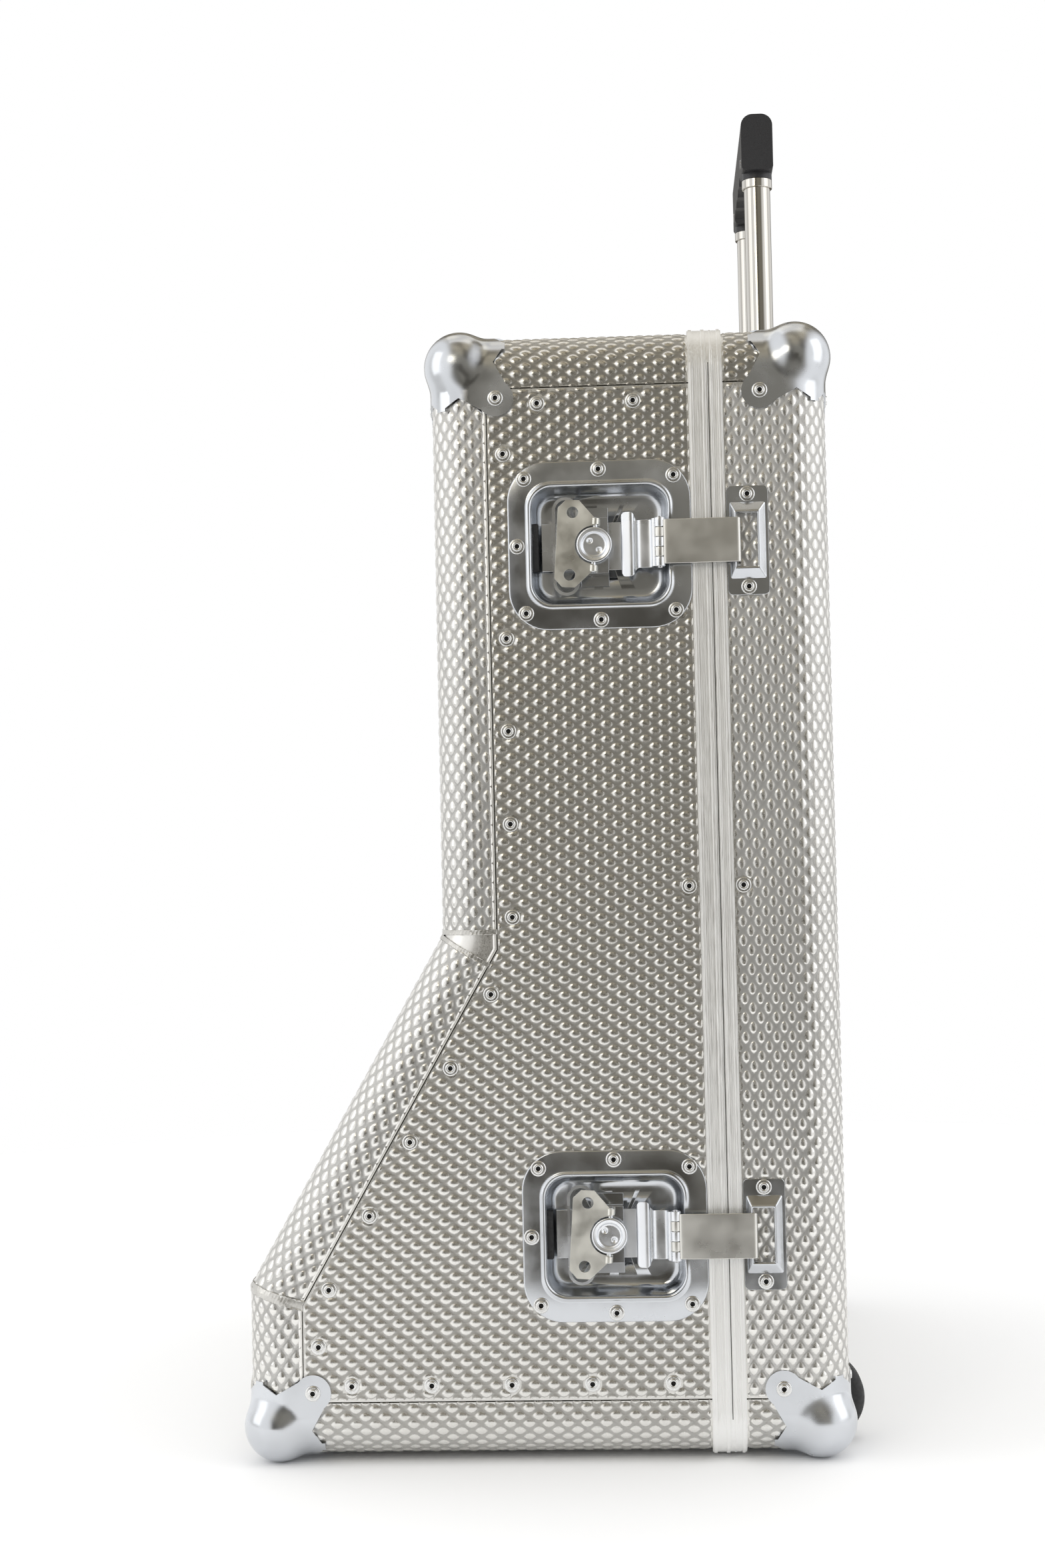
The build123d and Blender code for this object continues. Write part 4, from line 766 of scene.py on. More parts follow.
def latch_origin(name):
    a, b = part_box(f"{name}_latch_dish")
    return np.array([(a.x + b.x) / 2, NEAR_Y, (a.z + b.z) / 2])


def cut_corners(line, rounds):
    """A line with its corners rounded by cutting them over and over."""
    line = np.array(line, float)
    for _ in range(rounds):
        first, last = line[:-1], line[1:]
        line = np.concatenate([line[:1], np.stack([0.75 * first + 0.25 * last, 0.25 * first + 0.75 * last],
                                                  1).reshape(-1, 3)[1:-1], line[-1:]])
    return line


def plate_mesh(line, origin):
    """A bent plate along a line of across, depth and half height, with rounded long edges."""
    line = cut_corners(line, 3)
    steps = np.gradient(line[:, :2], axis=0)
    across = np.stack([-steps[:, 1], steps[:, 0]], -1) / np.hypot(*steps.T)[:, None]
    half = PLATE * 500
    vertices = []
    for (x, d, reach), normal in zip(line, across):
        for sign_side, offset, inset in ((1, -1, 0.4), (1, -0.45, 0.0), (1, 0.45, 0.0), (1, 1, 0.4),
                                         (-1, 1, 0.4), (-1, 0.45, 0.0), (-1, -0.45, 0.0), (-1, -1, 0.4)):
            px, pd = np.array([x, d]) + normal * half * offset
            vertices.append(origin + np.array([px, pd, sign_side * (reach - inset)]) / 1000)
    faces = ring_faces(len(line), 8)
    faces += [tuple(range(7, -1, -1)), tuple(range(len(vertices) - 8, len(vertices)))]
    return vertices, faces


def turned(profile, centre, axis, start=0, segments=40):
    """A turned shape from radius and height pairs, along an axis of X, Y or Z."""
    turn = np.linspace(0, 2 * pi, segments, endpoint=False)
    across = [i for i in range(3) if i != axis]
    vertices = []
    for radius, height in profile:
        ring = np.tile(np.asarray(centre, float), (segments, 1))
        ring[:, across[0]] += radius / 1000 * np.cos(turn)
        ring[:, across[1]] += radius / 1000 * np.sin(turn)
        ring[:, axis] += height / 1000
        vertices += ring.tolist()
    end = start + len(vertices)
    caps = [tuple(range(start, start + segments)), tuple(range(end - segments, end))]
    return vertices, ring_faces(len(profile), segments, start) + caps


def knuckle_profile(first, last, radius):
    edge, wall = 0.35, 1.2
    return ((radius - wall, first), (radius - edge, first), (radius, first + edge), (radius, last - edge),
            (radius - edge, last), (radius - wall, last))


def build_plates(name):
    """The pull plate with its bent-up finger flange, and the strap with its hooked end."""
    origin = latch_origin(name)
    x, depth, radius, half = BARREL
    pitch = 2 * half / 5
    for node, line, odd, finish in ((f"{name}_latch_pull_plate", PULL_LINE, 0, "zinc_bright"),
                                    (f"{name}_latch_strap", STRAP_LINE, 1, "zinc_brushed")):
        vertices, faces = plate_mesh(line, origin)
        for i in range(odd, 5, 2):
            first, last = -half + i * pitch + KNUCKLE_GAP, -half + (i + 1) * pitch - KNUCKLE_GAP
            centre = origin + np.array([x, depth, 0]) / 1000
            more = turned(knuckle_profile(first, last, radius), centre, 2, len(vertices), 28)
            vertices, faces = [*vertices, *more[0]], faces + more[1]
        mesh = mesh_from(f"{node}_finished", vertices, faces)
        piece = new_piece(mesh.name, mesh, node, FINISH[finish], smooth=False)
        settle_normals(piece, mesh, 50)
        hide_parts(node)


# Radius and depth of the turning boss, in millimetres
BOSS_PROFILE = ((6.0, 6.6), (6.0, 1.9), (10.2, 1.8), (10.7, 1.4), (10.8, 0.6), (10.8, -0.7), (10.6, -1.2),
                (10.1, -1.55), (9.4, -1.5), (8.7, -1.2), (8.3, -1.15), (7.9, -0.95), (7.6, -0.4), (7.35, 0.3),
                (6.9, 0.75), (6.2, 0.85))
BOSS_FLOOR = (6.2, 0.85)
FLOOR_RINGS = 14
DIMPLES = ((-3.0, 2.6), (3.0, -2.6))
DIMPLE_R = 1.35
DIMPLE_DEEP = 0.0011
CROSS_BAR = (1.5, 8.6, 16.6, 0.9)     # radius, start, end and depth of each stub


def build_rotor(name):
    """The boss: a stepped rim round a floor with two dimples, on its cross bar."""
    node = f"{name}_latch_rotor"
    origin = latch_origin(name) + np.array([BOSS_X, 0, 0]) / 1000
    segments = 48
    floor_r, floor_deep = BOSS_FLOOR
    shares = [1 - i / FLOOR_RINGS for i in range(1, FLOOR_RINGS)]
    profile = BOSS_PROFILE + tuple((floor_r * share, floor_deep) for share in shares)
    vertices, faces = turned(profile, origin, 1, segments=segments)
    points = np.array(vertices)
    flat = (points - origin)[:, ::2] * 1000
    floor = np.arange(len(points)) >= len(BOSS_PROFILE) * segments
    for x, z in DIMPLES:
        turned_x, turned_z = x * cos(TILT) + z * sin(TILT), z * cos(TILT) - x * sin(TILT)
        apart = np.hypot(flat[:, 0] - turned_x, flat[:, 1] - turned_z)
        points[:, 1] += floor * DIMPLE_DEEP * np.exp(-(apart / DIMPLE_R) ** 4)
    vertices = points.tolist()
    bar_r, bar_start, bar_end, bar_deep = CROSS_BAR
    for side in (-1, 1):
        bar = ((bar_r, side * bar_start), (bar_r, side * (bar_end - 0.5)), (bar_r - 0.5, side * bar_end))
        more, more_faces = turned(bar, (0, 0, 0), 2, len(vertices), 16)
        more = np.array(more) @ np.array(Matrix.Rotation(TILT, 3, "Y")).T + origin
        vertices += (more + np.array([0, bar_deep / 1000, 0])).tolist()
        faces += more_faces
    mesh = mesh_from(f"{node}_finished", vertices, faces)
    piece = new_piece(mesh.name, mesh, node, FINISH["zinc_bright"], smooth=False)
    settle_normals(piece, mesh, 60)
    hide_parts(node)


# Across and outward steps of the frame extrusions over the sheet, in millimetres
LID_RIBS = ((0.0, 1.9), (0.1, 2.2), (0.3, 2.27), (0.75, 2.27), (0.85, 2.85), (1.15, 3.05), (2.45, 3.05),
            (2.75, 2.85), (2.85, 2.27), (3.6, 2.27), (3.7, 2.5), (4.1, 2.5), (4.2, 2.27), (5.0, 2.27),
            (5.1, 2.5), (5.5, 2.5), (5.6, 2.27), (6.4, 2.27), (6.5, 2.5), (6.9, 2.5), (7.0, 2.27),
            (8.25, 2.27), (8.35, 2.85), (8.65, 3.05), (10.15, 3.05), (10.45, 2.85), (10.55, 2.27),
            (11.4, 2.27), (11.6, 2.2), (11.75, 1.6))
TRAY_RIBS = ((0.1, 1.6), (0.2, 2.2), (0.45, 2.27), (1.3, 2.27), (1.4, 2.6), (1.65, 2.72), (2.35, 2.72),
             (2.6, 2.6), (2.7, 2.27), (3.7, 2.27), (3.8, 2.5), (4.2, 2.5), (4.3, 2.27), (5.1, 2.27),
             (5.2, 2.4), (5.4, 2.4), (5.5, 2.27), (5.95, 2.27), (6.05, 2.85), (6.35, 3.05), (7.65, 3.05),
             (7.95, 2.85), (8.05, 2.27), (8.4, 2.27), (8.6, 2.2), (8.7, 1.9))
# Across and outward place of the dark band painted as the shade of the parting gap, in millimetres
PARTING_GAP = ((0.02, 2.3), (0.5, 2.3))


def build_band(name, body, start_x, ribs, finish="extruded_aluminium"):
    """The drawn face of a frame extrusion, or a dark band of painted shade for the open joint beside it, run
    round the case.
    """
    turn_r = EDGE_R + SHEET
    middle_z = (TOP_Z + BASE_Z) / 2
    rows, distances = [], []
    for across, out in ribs:
        out /= 1000
        loop = rounded_loop(2 * (HALF + out), TOP_Z - BASE_Z + 2 * out, turn_r + out, 16, 24)
        loop = np.concatenate([loop, loop[:1]])
        rows.append(np.stack([np.full(len(loop), start_x + across / 1000), loop[:, 0] + MID_Y,
                              loop[:, 1] + middle_z], -1))
        steps = np.hypot(*np.diff(loop, axis=0).T)
        distances.append(np.concatenate([[0], np.cumsum(steps)]))
    points = np.stack(rows)
    along = np.stack(distances)
    uv = np.stack([along, np.broadcast_to(points[:, :1, 0], along.shape)], -1)
    mesh = grid_mesh(name, points, uv=uv)
    piece = new_piece(mesh.name, mesh, body, FINISH[finish], smooth=False)
    settle_normals(piece, mesh, 60)


def build_welds():
    """Rippled weld beads along the two bends."""
    node = "lid_weld_beads"
    shape = part_shape(node)
    lowest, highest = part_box(node)
    cell, ripple_pitch = 0.0008, 0.0024
    for axis in (0, 2):
        slice_shape(shape, axis, np.arange(lowest[axis] + cell / 2, highest[axis], cell))
    shape.normal_update()
    for vert in shape.verts:
        along = vert.co.x - 0.55 * vert.co.z + 0.3 * abs(vert.co.y)
        ripple = 0.5 + 0.5 * sin(2 * pi * along / ripple_pitch)
        sway = 0.5 + noise.noise(vert.co * 240.0)
        vert.co -= vert.normal * (0.00022 * ripple + 0.00028 * sway)
    mesh = shape_mesh(shape, node)
    piece = new_piece(mesh.name, mesh, "lid", FINISH["weld_metal"])
    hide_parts(node)


FOAM_EDGE = 0.0022
FOAM_CELL = 0.016


def build_foam(node):
    """Cut foam boards: rounded edges and a slightly uneven, hand-trimmed surface."""
    shape = part_shape(node)
    round_edges(shape, FOAM_EDGE, 3, 20)
    lowest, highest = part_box(node)
    for axis in range(3):
        slice_shape(shape, axis, np.arange(lowest[axis] + FOAM_CELL, highest[axis], FOAM_CELL))
    shape.normal_update()
    for vert in shape.verts:
        sway = noise.noise(vert.co * 21.0) + 0.5 * noise.noise(vert.co * 67.0)
        vert.co -= vert.normal * (0.00035 + 0.0005 * sway)
    mesh = shape_mesh(shape, node)
    piece = new_piece(mesh.name, mesh, body_of(NODES[node])[0], FINISH["foam_lining"])
    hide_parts(node)


# Materials
EVEN, ALONG_X, ALONG_Z = (1, 1, 1), (0.05, 1, 1), (1, 1, 0.05)     # stretches of a grain


def new_material(name):
    material = bpy.data.materials.new(name)
    material.use_nodes = True
    tree = material.node_tree
    shader = tree.nodes["Principled BSDF"]
    return material, tree, shader


def add(tree, kind, **values):
    """A node with its properties and socket values set by name."""
    node = tree.nodes.new(kind)
    for key, value in values.items():
        if key in node.inputs:
            node.inputs[key].default_value = value
        else:
            setattr(node, key, value)
    return node


def mix_colour(tree, factor, first, second, blend="MIX"):
    """The output of a colour mix. Each input is an output to link or a value."""
    node = add(tree, "ShaderNodeMix", data_type="RGBA", blend_type=blend)
    for index, source in ((0, factor), (6, first), (7, second)):
        if isinstance(source, bpy.types.NodeSocket):
            tree.links.new(source, node.inputs[index])
        else:
            node.inputs[index].default_value = source if index == 0 else (*source, 1)
    return node.outputs[2]


def wear_group():
    """Uneven roughness and tone: cloudy smears with fine hairline scratches along one direction."""
    group = bpy.data.node_groups.new("MetalWear", "ShaderNodeTree")
    for name, value in (("Cloud scale", 18.0), ("Grain scale", 900.0), ("Amount", 0.2)):
        socket = group.interface.new_socket(name, in_out="INPUT", socket_type="NodeSocketFloat")
        socket.default_value = value
    stretch = group.interface.new_socket("Stretch", in_out="INPUT", socket_type="NodeSocketVector")
    stretch.default_value = (1, 1, 1)
    group.interface.new_socket("Tone", in_out="OUTPUT", socket_type="NodeSocketFloat")
    group.interface.new_socket("Grain", in_out="OUTPUT", socket_type="NodeSocketFloat")
    group.interface.new_socket("Smears", in_out="OUTPUT", socket_type="NodeSocketFloat")
    inside, outside = group.nodes.new("NodeGroupInput"), group.nodes.new("NodeGroupOutput")
    coordinates = group.nodes.new("ShaderNodeTexCoord")
    clouds = add(group, "ShaderNodeTexNoise", Detail=4.0)
    group.links.new(coordinates.outputs["Object"], clouds.inputs["Vector"])
    group.links.new(inside.outputs["Cloud scale"], clouds.inputs["Scale"])
    scaled = add(group, "ShaderNodeVectorMath", operation="MULTIPLY")
    group.links.new(coordinates.outputs["Object"], scaled.inputs[0])
    group.links.new(inside.outputs["Stretch"], scaled.inputs[1])
    grain = add(group, "ShaderNodeTexNoise", Detail=2.0)
    group.links.new(scaled.outputs[0], grain.inputs["Vector"])
    group.links.new(inside.outputs["Grain scale"], grain.inputs["Scale"])
    spread = add(group, "ShaderNodeMath", operation="MULTIPLY_ADD")
    centred = add(group, "ShaderNodeMath", operation="SUBTRACT")
    centred.inputs[1].default_value = 0.5
    group.links.new(clouds.outputs["Fac"], centred.inputs[0])
    group.links.new(centred.outputs[0], spread.inputs[0])
    group.links.new(inside.outputs["Amount"], spread.inputs[1])
    spread.inputs[2].default_value = 1.0
    group.links.new(spread.outputs[0], outside.inputs["Tone"])
    group.links.new(grain.outputs["Fac"], outside.inputs["Grain"])
    group.links.new(clouds.outputs["Fac"], outside.inputs["Smears"])
    return group


def worn_metal(name, colour, roughness, clouds, grain, stretch, amount, bump, smear=0.25, anisotropic=0.0,
               metallic=1.0):
    """A metal with a cloudy tone, uneven roughness by the share smear, and a fine grain."""
    material, tree, shader = new_material(name)
    wear = add(tree, "ShaderNodeGroup", node_tree=GROUPS["wear"])
    values = {"Cloud scale": clouds, "Grain scale": grain, "Amount": amount, "Stretch": stretch}
    for key, value in values.items():
        wear.inputs[key].default_value = value
    tone = mix_colour(tree, 1.0, colour, wear.outputs["Tone"], "MULTIPLY")
    tree.links.new(tone, shader.inputs["Base Color"])
    rough = add(tree, "ShaderNodeMapRange")
    rough.inputs["From Min"].default_value = 0.3
    rough.inputs["From Max"].default_value = 0.7
    rough.inputs["To Min"].default_value = roughness * (1 - smear)
    rough.inputs["To Max"].default_value = roughness * (1 + smear)
    tree.links.new(wear.outputs["Smears" if smear > 0.3 else "Grain"], rough.inputs["Value"])
    tree.links.new(rough.outputs["Result"], shader.inputs["Roughness"])
    if bump:
        raised = add(tree, "ShaderNodeBump", Strength=0.4, Distance=bump)
        tree.links.new(wear.outputs["Grain"], raised.inputs["Height"])
        tree.links.new(raised.outputs["Normal"], shader.inputs["Normal"])
    shader.inputs["Metallic"].default_value = metallic
    if anisotropic:
        shader.inputs["Anisotropic"].default_value = anisotropic
        shader.inputs["Anisotropic Rotation"].default_value = 0.25
        tangent = add(tree, "ShaderNodeTangent", direction_type="UV_MAP", uv_map="Grain")
        tree.links.new(tangent.outputs["Tangent"], shader.inputs["Tangent"])
    return material


def dull_ground(material, tone, roughness):
    """Duller, rougher ground between the polished crowns of a relief."""
    tree = material.node_tree
    shader = tree.nodes["Principled BSDF"]
    height = add(tree, "ShaderNodeAttribute", attribute_name="Relief")
    crown = add(tree, "ShaderNodeMapRange")
    crown.inputs["From Max"].default_value = 0.4
    tree.links.new(height.outputs["Fac"], crown.inputs["Value"])
    for socket, ground in (("Base Color", tone), ("Roughness", roughness)):
        source = shader.inputs[socket].links[0].from_socket
        share = mix_colour(tree, crown.outputs["Result"], (ground,) * 3, (1, 1, 1))
        tree.links.new(mix_colour(tree, 1.0, source, share, "MULTIPLY"), shader.inputs[socket])


def moulded(name, colour, roughness, grain, bump):
    """Moulded plastic or rubber with a fine texture and uneven sheen."""
    return worn_metal(name, colour, roughness, 14.0, grain, EVEN, 0.5, bump, metallic=0.0)


def foam_material(name, colour):
    """Open cell foam: a dark ground with small pores."""
    material, tree, shader = new_material(name)
    coordinates = add(tree, "ShaderNodeTexCoord")
    cells = add(tree, "ShaderNodeTexVoronoi", Scale=520.0)
    tree.links.new(coordinates.outputs["Object"], cells.inputs["Vector"])
    shade = add(tree, "ShaderNodeMapRange")
    shade.inputs["From Max"].default_value = 0.6
    shade.inputs["To Min"].default_value = 0.35
    shade.inputs["To Max"].default_value = 1.25
    tree.links.new(cells.outputs["Distance"], shade.inputs["Value"])
    tone = mix_colour(tree, 1.0, colour, shade.outputs["Result"], "MULTIPLY")
    tree.links.new(tone, shader.inputs["Base Color"])
    raised = add(tree, "ShaderNodeBump", Strength=0.8, Distance=0.0006)
    tree.links.new(cells.outputs["Distance"], raised.inputs["Height"])
    tree.links.new(raised.outputs["Normal"], shader.inputs["Normal"])
    shader.inputs["Roughness"].default_value = 0.95
    shader.inputs["Sheen Weight"].default_value = 0.2
    return material


GROUPS = {}
FINISH = {}
SLOTS = {part["node"]: part["material_slot"] for part in frame["record"]["subparts"]}


def build_finishes():
    """Every finish, and its material on the carried-over parts."""
    colours = bpy.context.scene.case_colours
    GROUPS["wear"] = wear_group()
    alu, zinc = tuple(colours.aluminium), tuple(colours.zinc)
    # Name, colour, roughness, scales of clouds and grain, stretch, amount of tone, depth of bump, smear
    metals = {
        "dimpled_aluminium": ("DimpledAluminium", alu, 0.22, 16.0, 1500.0, EVEN, 0.16, 0.0, 0.25, 0.85),
        # Near-black strips: painted shade of the open joints between sheets and at the parting line
        "joint_shade": ("JointShade", (0.05, 0.047, 0.04), 0.6, 60.0, 900.0, EVEN, 0.4, 0.0),
        # Lighter than the sheet's own colour: painted highlight on the raised turned edges
        "turned_edge_highlight": ("TurnedEdgeHighlight", (0.95, 0.94, 0.91), 0.4, 40.0, 900.0, EVEN, 0.2, 0.0),
        # Near-black: painted shade in the rivet holes
        "rivet_hole_shade": ("RivetHoleShade", (0.035, 0.035, 0.035), 0.5, 400.0, 900.0, EVEN, 0.5, 0.0),
        "plain_aluminium": ("PlainAluminium", alu, 0.36, 20.0, 1200.0, EVEN, 0.14, 0.00002),
        "weld_metal": ("WeldMetal", (0.62, 0.61, 0.58), 0.38, 120.0, 600.0, EVEN, 0.5, 0.0003),
        "extruded_aluminium": ("ExtrudedAluminium", (0.95, 0.95, 0.94), 0.55, 12.0, 1800.0, ALONG_Z, 0.1,
                               0.00002),
        "zinc_plate": ("ZincPlate", zinc, 0.22, 38.0, 300.0, EVEN, 0.35, 0.0, 0.45),
        "zinc_warm": ("ZincPlateWarm", (0.84, 0.83, 0.77), 0.4, 60.0, 500.0, EVEN, 0.35, 0.0, 0.4),
        "zinc_brushed": ("ZincPlateBrushed", (0.8, 0.79, 0.75), 0.34, 30.0, 700.0, ALONG_X, 0.3, 0.00001,
                         0.4),
        "zinc_bright": ("ZincPlateBright", (0.88, 0.9, 0.93), 0.3, 50.0, 300.0, EVEN, 0.25, 0.0, 0.35),
        "rivet_metal": ("RivetMetal", (0.8, 0.8, 0.79), 0.25, 200.0, 900.0, EVEN, 0.2, 0.00002),
        "steel_pin": ("SteelPin", (0.6, 0.6, 0.61), 0.28, 60.0, 800.0, ALONG_X, 0.25, 0.00002),
        "chrome_tube": ("ChromeTube", (0.62, 0.6, 0.56), 0.08, 24.0, 900.0, ALONG_Z, 0.1, 0.0),
    }
    # Name, colour, roughness, scale of the texture and depth of its bump
    plastics = {
        "black_plastic": ("BlackPlastic", (0.022, 0.022, 0.024), 0.42, 1400.0, 0.00008),
        "button_plastic": ("ButtonPlastic", (0.05, 0.05, 0.052), 0.5, 1400.0, 0.00005),
        "rubber_pad": ("RubberPad", (0.02, 0.02, 0.021), 0.7, 700.0, 0.0001),
        "wheel_tyre": ("WheelTyre", (0.025, 0.025, 0.026), 0.62, 500.0, 0.0001),
        "wheel_hub": ("WheelHub", (0.42, 0.42, 0.42), 0.45, 500.0, 0.00005),
    }
    FINISH.update({slot: worn_metal(*values) for slot, values in metals.items()})
    FINISH.update({slot: moulded(*values) for slot, values in plastics.items()})
    FINISH["foam_lining"] = foam_material("FoamLining", (0.045, 0.045, 0.05))
    dull_ground(FINISH["dimpled_aluminium"], 0.7, 2.0)
    for node, slot in SLOTS.items():
        finish = FINISH["plain_aluminium" if slot == "dimpled_aluminium" else slot]
        mesh = NODES[node].data
        mesh.materials.clear()
        mesh.materials.append(finish)


# Stage
def camera_rotation(settings):
    """The camera's axes in the world, from its yaw, pitch and roll."""
    yaw, pitch, roll = settings.yaw, settings.pitch, settings.roll
    level = Matrix(((1, 0, 0), (0, 0, -1), (0, 1, 0)))
    turned = Matrix.Rotation(yaw, 3, "Z")
    pitched = Matrix.Rotation(pitch, 3, "X")
    rolled = Matrix.Rotation(roll, 3, "Z")
    rows = rolled @ pitched @ level @ turned
    right, down, ahead = rows[0], rows[1], rows[2]
    return Matrix((right, -Vector(down), -Vector(ahead))).transposed()


def build_camera():
    settings = bpy.context.scene.case_stage
    data = bpy.data.cameras.new("StudioCamera")
    data.lens = settings.lens
    data.sensor_width = 36
    data.sensor_fit = "AUTO"
    data.clip_end = 50
    camera = bpy.data.objects.new("StudioCamera", data)
    bpy.context.scene.collection.objects.link(camera)
    camera.matrix_world = Matrix.Translation(settings.eye) @ camera_rotation(settings).to_4x4()
    bpy.context.scene.camera = camera


def area_lamp(name, place, target, size, power, colour):
    data = bpy.data.lights.new(name, "AREA")
    data.shape = "RECTANGLE"
    data.size, data.size_y = size
    data.energy = power
    data.color = colour
    lamp = bpy.data.objects.new(name, data)
    bpy.context.scene.collection.objects.link(lamp)
    lamp.location = place
    lamp.rotation_mode = "QUATERNION"
    lamp.rotation_quaternion = (Vector(target) - Vector(place)).to_track_quat("-Z", "Y")


def build_world():
    """A white studio to the camera. In reflections it has dim walls before, behind and beside the case."""
    world = bpy.data.worlds.new("Studio")
    bpy.context.scene.world = world
    world.use_nodes = True
    tree = world.node_tree
    tree.nodes.clear()
    output = tree.nodes.new("ShaderNodeOutputWorld")
    coordinates = tree.nodes.new("ShaderNodeTexCoord")
    split = tree.nodes.new("ShaderNodeSeparateXYZ")
    tree.links.new(coordinates.outputs["Generated"], split.inputs[0])

    def ramp(source, first, last):
        """Rises from 0 to 1 between two values."""
        node = add(tree, "ShaderNodeMapRange", interpolation_type="SMOOTHSTEP")
        node.inputs["From Min"].default_value = first
        node.inputs["From Max"].default_value = last
        tree.links.new(source, node.inputs["Value"])
        return node.outputs["Result"]

    def times(a, b):
        node = add(tree, "ShaderNodeMath", operation="MULTIPLY")
        tree.links.new(a, node.inputs[0])
        tree.links.new(b, node.inputs[1])
        return node.outputs[0]

    def away_from(source, middle):
        """Distance from a value."""
        centred = add(tree, "ShaderNodeMath", operation="SUBTRACT")
        centred.inputs[1].default_value = middle
        tree.links.new(source, centred.inputs[0])
        distance = add(tree, "ShaderNodeMath", operation="ABSOLUTE")
        tree.links.new(centred.outputs[0], distance.inputs[0])
        return distance.outputs[0]

    sideways = away_from(split.outputs["X"], 0.08)
    lengthways = away_from(split.outputs["Y"], 0.0)
    walls = times(ramp(sideways, 0.62, 0.32), ramp(lengthways, -0.3, 0.15))
    soft_sides = times(ramp(sideways, 0.78, 0.95), ramp(lengthways, 0.5, 0.2))
    dim = add(tree, "ShaderNodeMath", operation="MULTIPLY_ADD")
    dim.inputs[1].default_value = 0.3
    tree.links.new(soft_sides, dim.inputs[0])
    tree.links.new(walls, dim.inputs[2])
    blotches = add(tree, "ShaderNodeTexNoise", Scale=2.6, Detail=1.0)
    tree.links.new(coordinates.outputs["Generated"], blotches.inputs["Vector"])
    patches = ramp(blotches.outputs["Fac"], 0.38, 0.62)
    front = mix_colour(tree, patches, (0.07, 0.063, 0.05), (0.24, 0.225, 0.19))
    ceiling = mix_colour(tree, patches, (0.14, 0.115, 0.075), (0.5, 0.44, 0.32))
    wall = mix_colour(tree, ramp(split.outputs["Z"], 0.35, 0.85), front, ceiling)
    reflected = mix_colour(tree, dim.outputs[0], (1, 1, 1), wall)
    rays = tree.nodes.new("ShaderNodeLightPath")
    shines = add(tree, "ShaderNodeMath", operation="MAXIMUM")
    tree.links.new(rays.outputs["Is Glossy Ray"], shines.inputs[0])
    tree.links.new(rays.outputs["Is Transmission Ray"], shines.inputs[1])
    seen = mix_colour(tree, shines.outputs[0], (1.09, 1.09, 1.09), reflected)
    direct = mix_colour(tree, rays.outputs["Is Camera Ray"], seen, (1, 1, 1))
    light = tree.nodes.new("ShaderNodeBackground")
    tree.links.new(direct, light.inputs["Color"])
    tree.links.new(light.outputs[0], output.inputs["Surface"])


def build_floor():
    """A pale round floor."""
    mesh = bpy.data.meshes.new("floor")
    shape = bmesh.new()
    bmesh.ops.create_circle(shape, cap_ends=True, radius=1.2, segments=128)
    shape.to_mesh(mesh)
    shape.free()
    floor = bpy.data.objects.new("floor", mesh)
    bpy.context.scene.collection.objects.link(floor)
    floor.location = (0, 0.45, CAD_BOX[0].z - 0.0002)
    material, _, shader = new_material("FloorPaint")
    shader.inputs["Base Color"].default_value = (0.93, 0.93, 0.93, 1)
    shader.inputs["Roughness"].default_value = 0.9
    shader.inputs["Specular IOR Level"].default_value = 0.1
    mesh.materials.append(material)


class ReliefSizes(bpy.types.PropertyGroup):
    pitch: bpy.props.FloatProperty(name="Leaf pitch", description="Distance between leaves along a column",
                                   default=0.0116, unit="LENGTH")
    row: bpy.props.FloatProperty(name="Column spacing", description="Distance between columns of leaves",
                                 default=0.00465, unit="LENGTH")
    reach: bpy.props.FloatProperty(name="Reach", description="From the middle of a leaf to its tip",
                                   default=0.0040, unit="LENGTH")
    swell: bpy.props.FloatProperty(name="Swell", description="From the middle of a leaf to its side",
                                   default=0.00295, unit="LENGTH")
    height: bpy.props.FloatProperty(name="Height", description="Height of a leaf over the sheet",
                                    default=0.00085, unit="LENGTH")


class CaseColours(bpy.types.PropertyGroup):
    aluminium: bpy.props.FloatVectorProperty(name="Aluminium", description="Colour of the dimpled sheet",
                                             default=(0.83, 0.82, 0.79), subtype="COLOR")
    zinc: bpy.props.FloatVectorProperty(name="Zinc plate", description="Colour of the plated hardware",
                                        default=(0.66, 0.68, 0.71), subtype="COLOR")


class StageSettings(bpy.types.PropertyGroup):
    eye: bpy.props.FloatVectorProperty(name="Camera place", description="Where the camera stands",
                                       default=(0.0678, -1.7475, 0.3602), subtype="XYZ")
    lens: bpy.props.FloatProperty(name="Lens", description="Focal length on a 36 mm sensor", default=55.82)
    yaw: bpy.props.FloatProperty(name="Yaw", description="Turn of the camera about the upright",
                                 default=radians(-3.08), subtype="ANGLE")
    pitch: bpy.props.FloatProperty(name="Pitch", description="Tilt of the camera up or down",
                                   default=radians(-1.887), subtype="ANGLE")
    roll: bpy.props.FloatProperty(name="Roll", description="Turn of the camera about its own line of sight",
                                  default=radians(-1.226), subtype="ANGLE")


class CASE_OT_finishes(bpy.types.Operator):
    """Make the materials and put them on the carried-over parts"""
    bl_idname = "flight_case.finishes"
    bl_label = "Finishes"

    def execute(self, context):
        build_finishes()
        return {"FINISHED"}


class CASE_OT_sheets(bpy.types.Operator):
    """Raise the leaf relief on every sheet, with the welds and the frame extrusions"""
    bl_idname = "flight_case.sheets"
    bl_label = "Dimpled sheets"

    def execute(self, context):
        build_wraps()
        build_tray_face()
        build_panels()
        build_joints()
        build_welds()
        parting_x = low("tray_valance").x
        build_band("lid_valance_face", "lid", LID_EDGE_X, LID_RIBS)
        build_band("tray_valance_face", "tray", parting_x, TRAY_RIBS)
        # Dark band at the parting line: painted shade of the gap between the lid's and the tray's extrusions
        build_band("parting_joint_shade", "tray", parting_x, PARTING_GAP, "joint_shade")
        return {"FINISHED"}


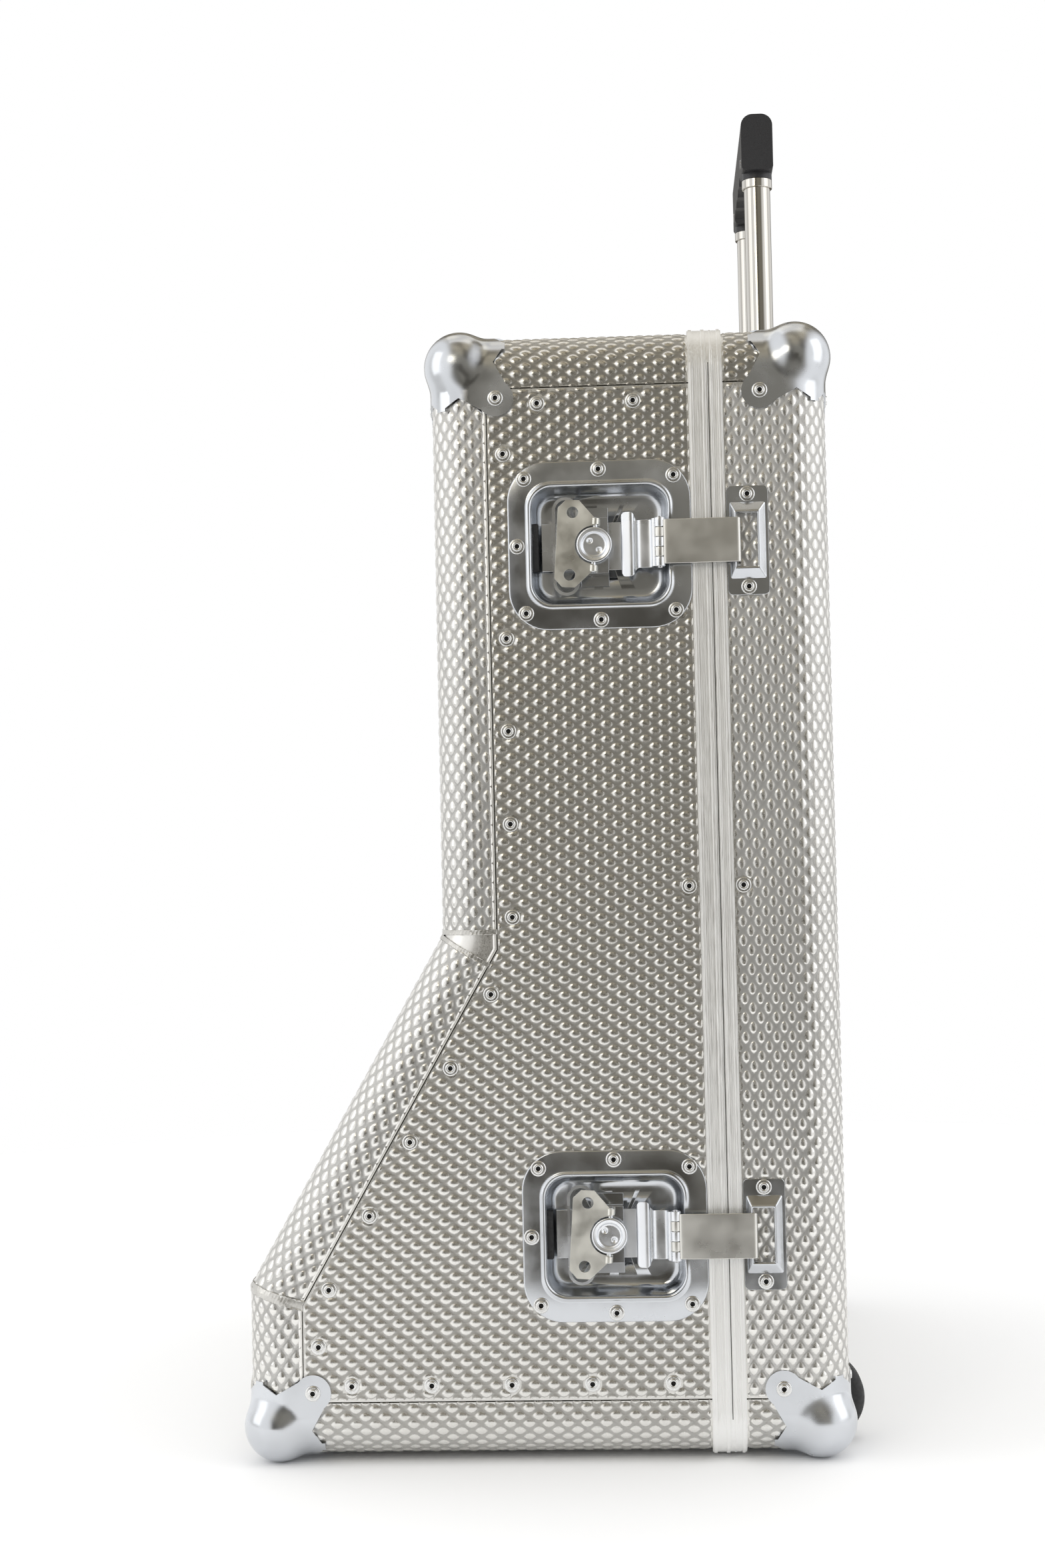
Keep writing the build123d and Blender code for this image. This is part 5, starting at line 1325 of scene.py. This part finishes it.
class CASE_OT_latches(bpy.types.Operator):
    """Finish the twist latches, their dishes and the keepers"""
    bl_idname = "flight_case.latches"
    bl_label = "Latches"

    def execute(self, context):
        for name in LATCHES:
            build_dish(name)
            softened(f"{name}_latch_wing", 0.0005, 3, finish="zinc_warm")
            build_rotor(name)
            build_plates(name)
        softened("latch_brackets", 0.0004)
        softened("latch_finger_scoops", 0.00075, 3, finish="zinc_bright")
        build_keepers()
        softened("latch_stop_pads", 0.0008, 3)
        return {"FINISHED"}


class CASE_OT_rivets(bpy.types.Operator):
    """Turn the rivet heads"""
    bl_idname = "flight_case.rivets"
    bl_label = "Rivets"

    def execute(self, context):
        build_rivets("lid_rivets", "lid")
        build_rivets("tray_rivets", "tray")
        return {"FINISHED"}


class CASE_OT_corners(bpy.types.Operator):
    """Finish the ball corners and the hinges"""
    bl_idname = "flight_case.corners"
    bl_label = "Ball corners and hinges"

    def execute(self, context):
        for half in ("lid", "tray"):
            build_ball_corners(half)
            softened(f"{half}_hinge_leaves", 0.0005)
        return {"FINISHED"}


class CASE_OT_trolley(bpy.types.Operator):
    """Finish the pull-out handle and the wheels"""
    bl_idname = "flight_case.trolley"
    bl_label = "Handle and wheels"

    def execute(self, context):
        softened("handle_grip", 0.0012, 3)
        softened("handle_button", 0.0005)
        for node in ("handle_collars", "handle_bezels", "grip_screws", "wheel_housings", "near_wheel_hub",
                     "far_wheel_hub"):
            softened(node, 0.0004)
        return {"FINISHED"}


class CASE_OT_lining(bpy.types.Operator):
    """Cut the foam lining"""
    bl_idname = "flight_case.lining"
    bl_label = "Foam lining"

    def execute(self, context):
        for node in ("lid_foam_ends", "lid_foam_front", "lid_foam_sides", "tray_foam_bed", "tray_foam_walls"):
            build_foam(node)
        return {"FINISHED"}


class CASE_OT_stage(bpy.types.Operator):
    """Add the floor, the lamps, the world and the camera"""
    bl_idname = "flight_case.stage"
    bl_label = "Stage"

    def execute(self, context):
        context.scene.view_settings.view_transform = "Standard"
        build_floor()
        build_world()
        build_camera()
        white, warm = (1, 1, 1), (1, 0.93, 0.78)
        for side in (-1, 1):
            area_lamp(f"side_lamp_{side + 1}", (side * 2.0, -0.6, 1.1), (0, 0, 0.35), (1.2, 2.0), 6, white)
        area_lamp("top_lamp", (0, 0.3, 2.6), (0, 0, 0.3), (1.6, 1.6), 5, white)
        area_lamp("front_lamp", (-0.56, -1.56, 1.2), (0.05, -0.28, 0.45), (0.45, 0.45), 1.6, warm)
        return {"FINISHED"}


class CASE_PT_panel(bpy.types.Panel):
    bl_idname = "CASE_PT_panel"
    bl_label = "Flight case"
    bl_space_type = "VIEW_3D"
    bl_region_type = "UI"
    bl_category = "Flight case"

    def draw(self, context):
        for operator in OPERATORS:
            self.layout.operator(operator.bl_idname)


OPERATORS = (CASE_OT_finishes, CASE_OT_sheets, CASE_OT_latches, CASE_OT_rivets, CASE_OT_corners,
             CASE_OT_trolley, CASE_OT_lining, CASE_OT_stage)
SETTINGS = (("case_relief", ReliefSizes), ("case_colours", CaseColours), ("case_stage", StageSettings))
CLASSES = (*[kind for _, kind in SETTINGS], *OPERATORS, CASE_PT_panel)


def register():
    for kind in CLASSES:
        bpy.utils.register_class(kind)
    for name, kind in SETTINGS:
        setattr(bpy.types.Scene, name, bpy.props.PointerProperty(type=kind))


def unregister():
    for name, _ in SETTINGS:
        delattr(bpy.types.Scene, name)
    for kind in reversed(CLASSES):
        bpy.utils.unregister_class(kind)


def main():
    register()
    bpy.ops.flight_case.finishes()
    bpy.ops.flight_case.sheets()
    bpy.ops.flight_case.latches()
    bpy.ops.flight_case.rivets()
    bpy.ops.flight_case.corners()
    bpy.ops.flight_case.trolley()
    bpy.ops.flight_case.lining()
    bpy.ops.flight_case.stage()


if __name__ == "__main__":
    main()
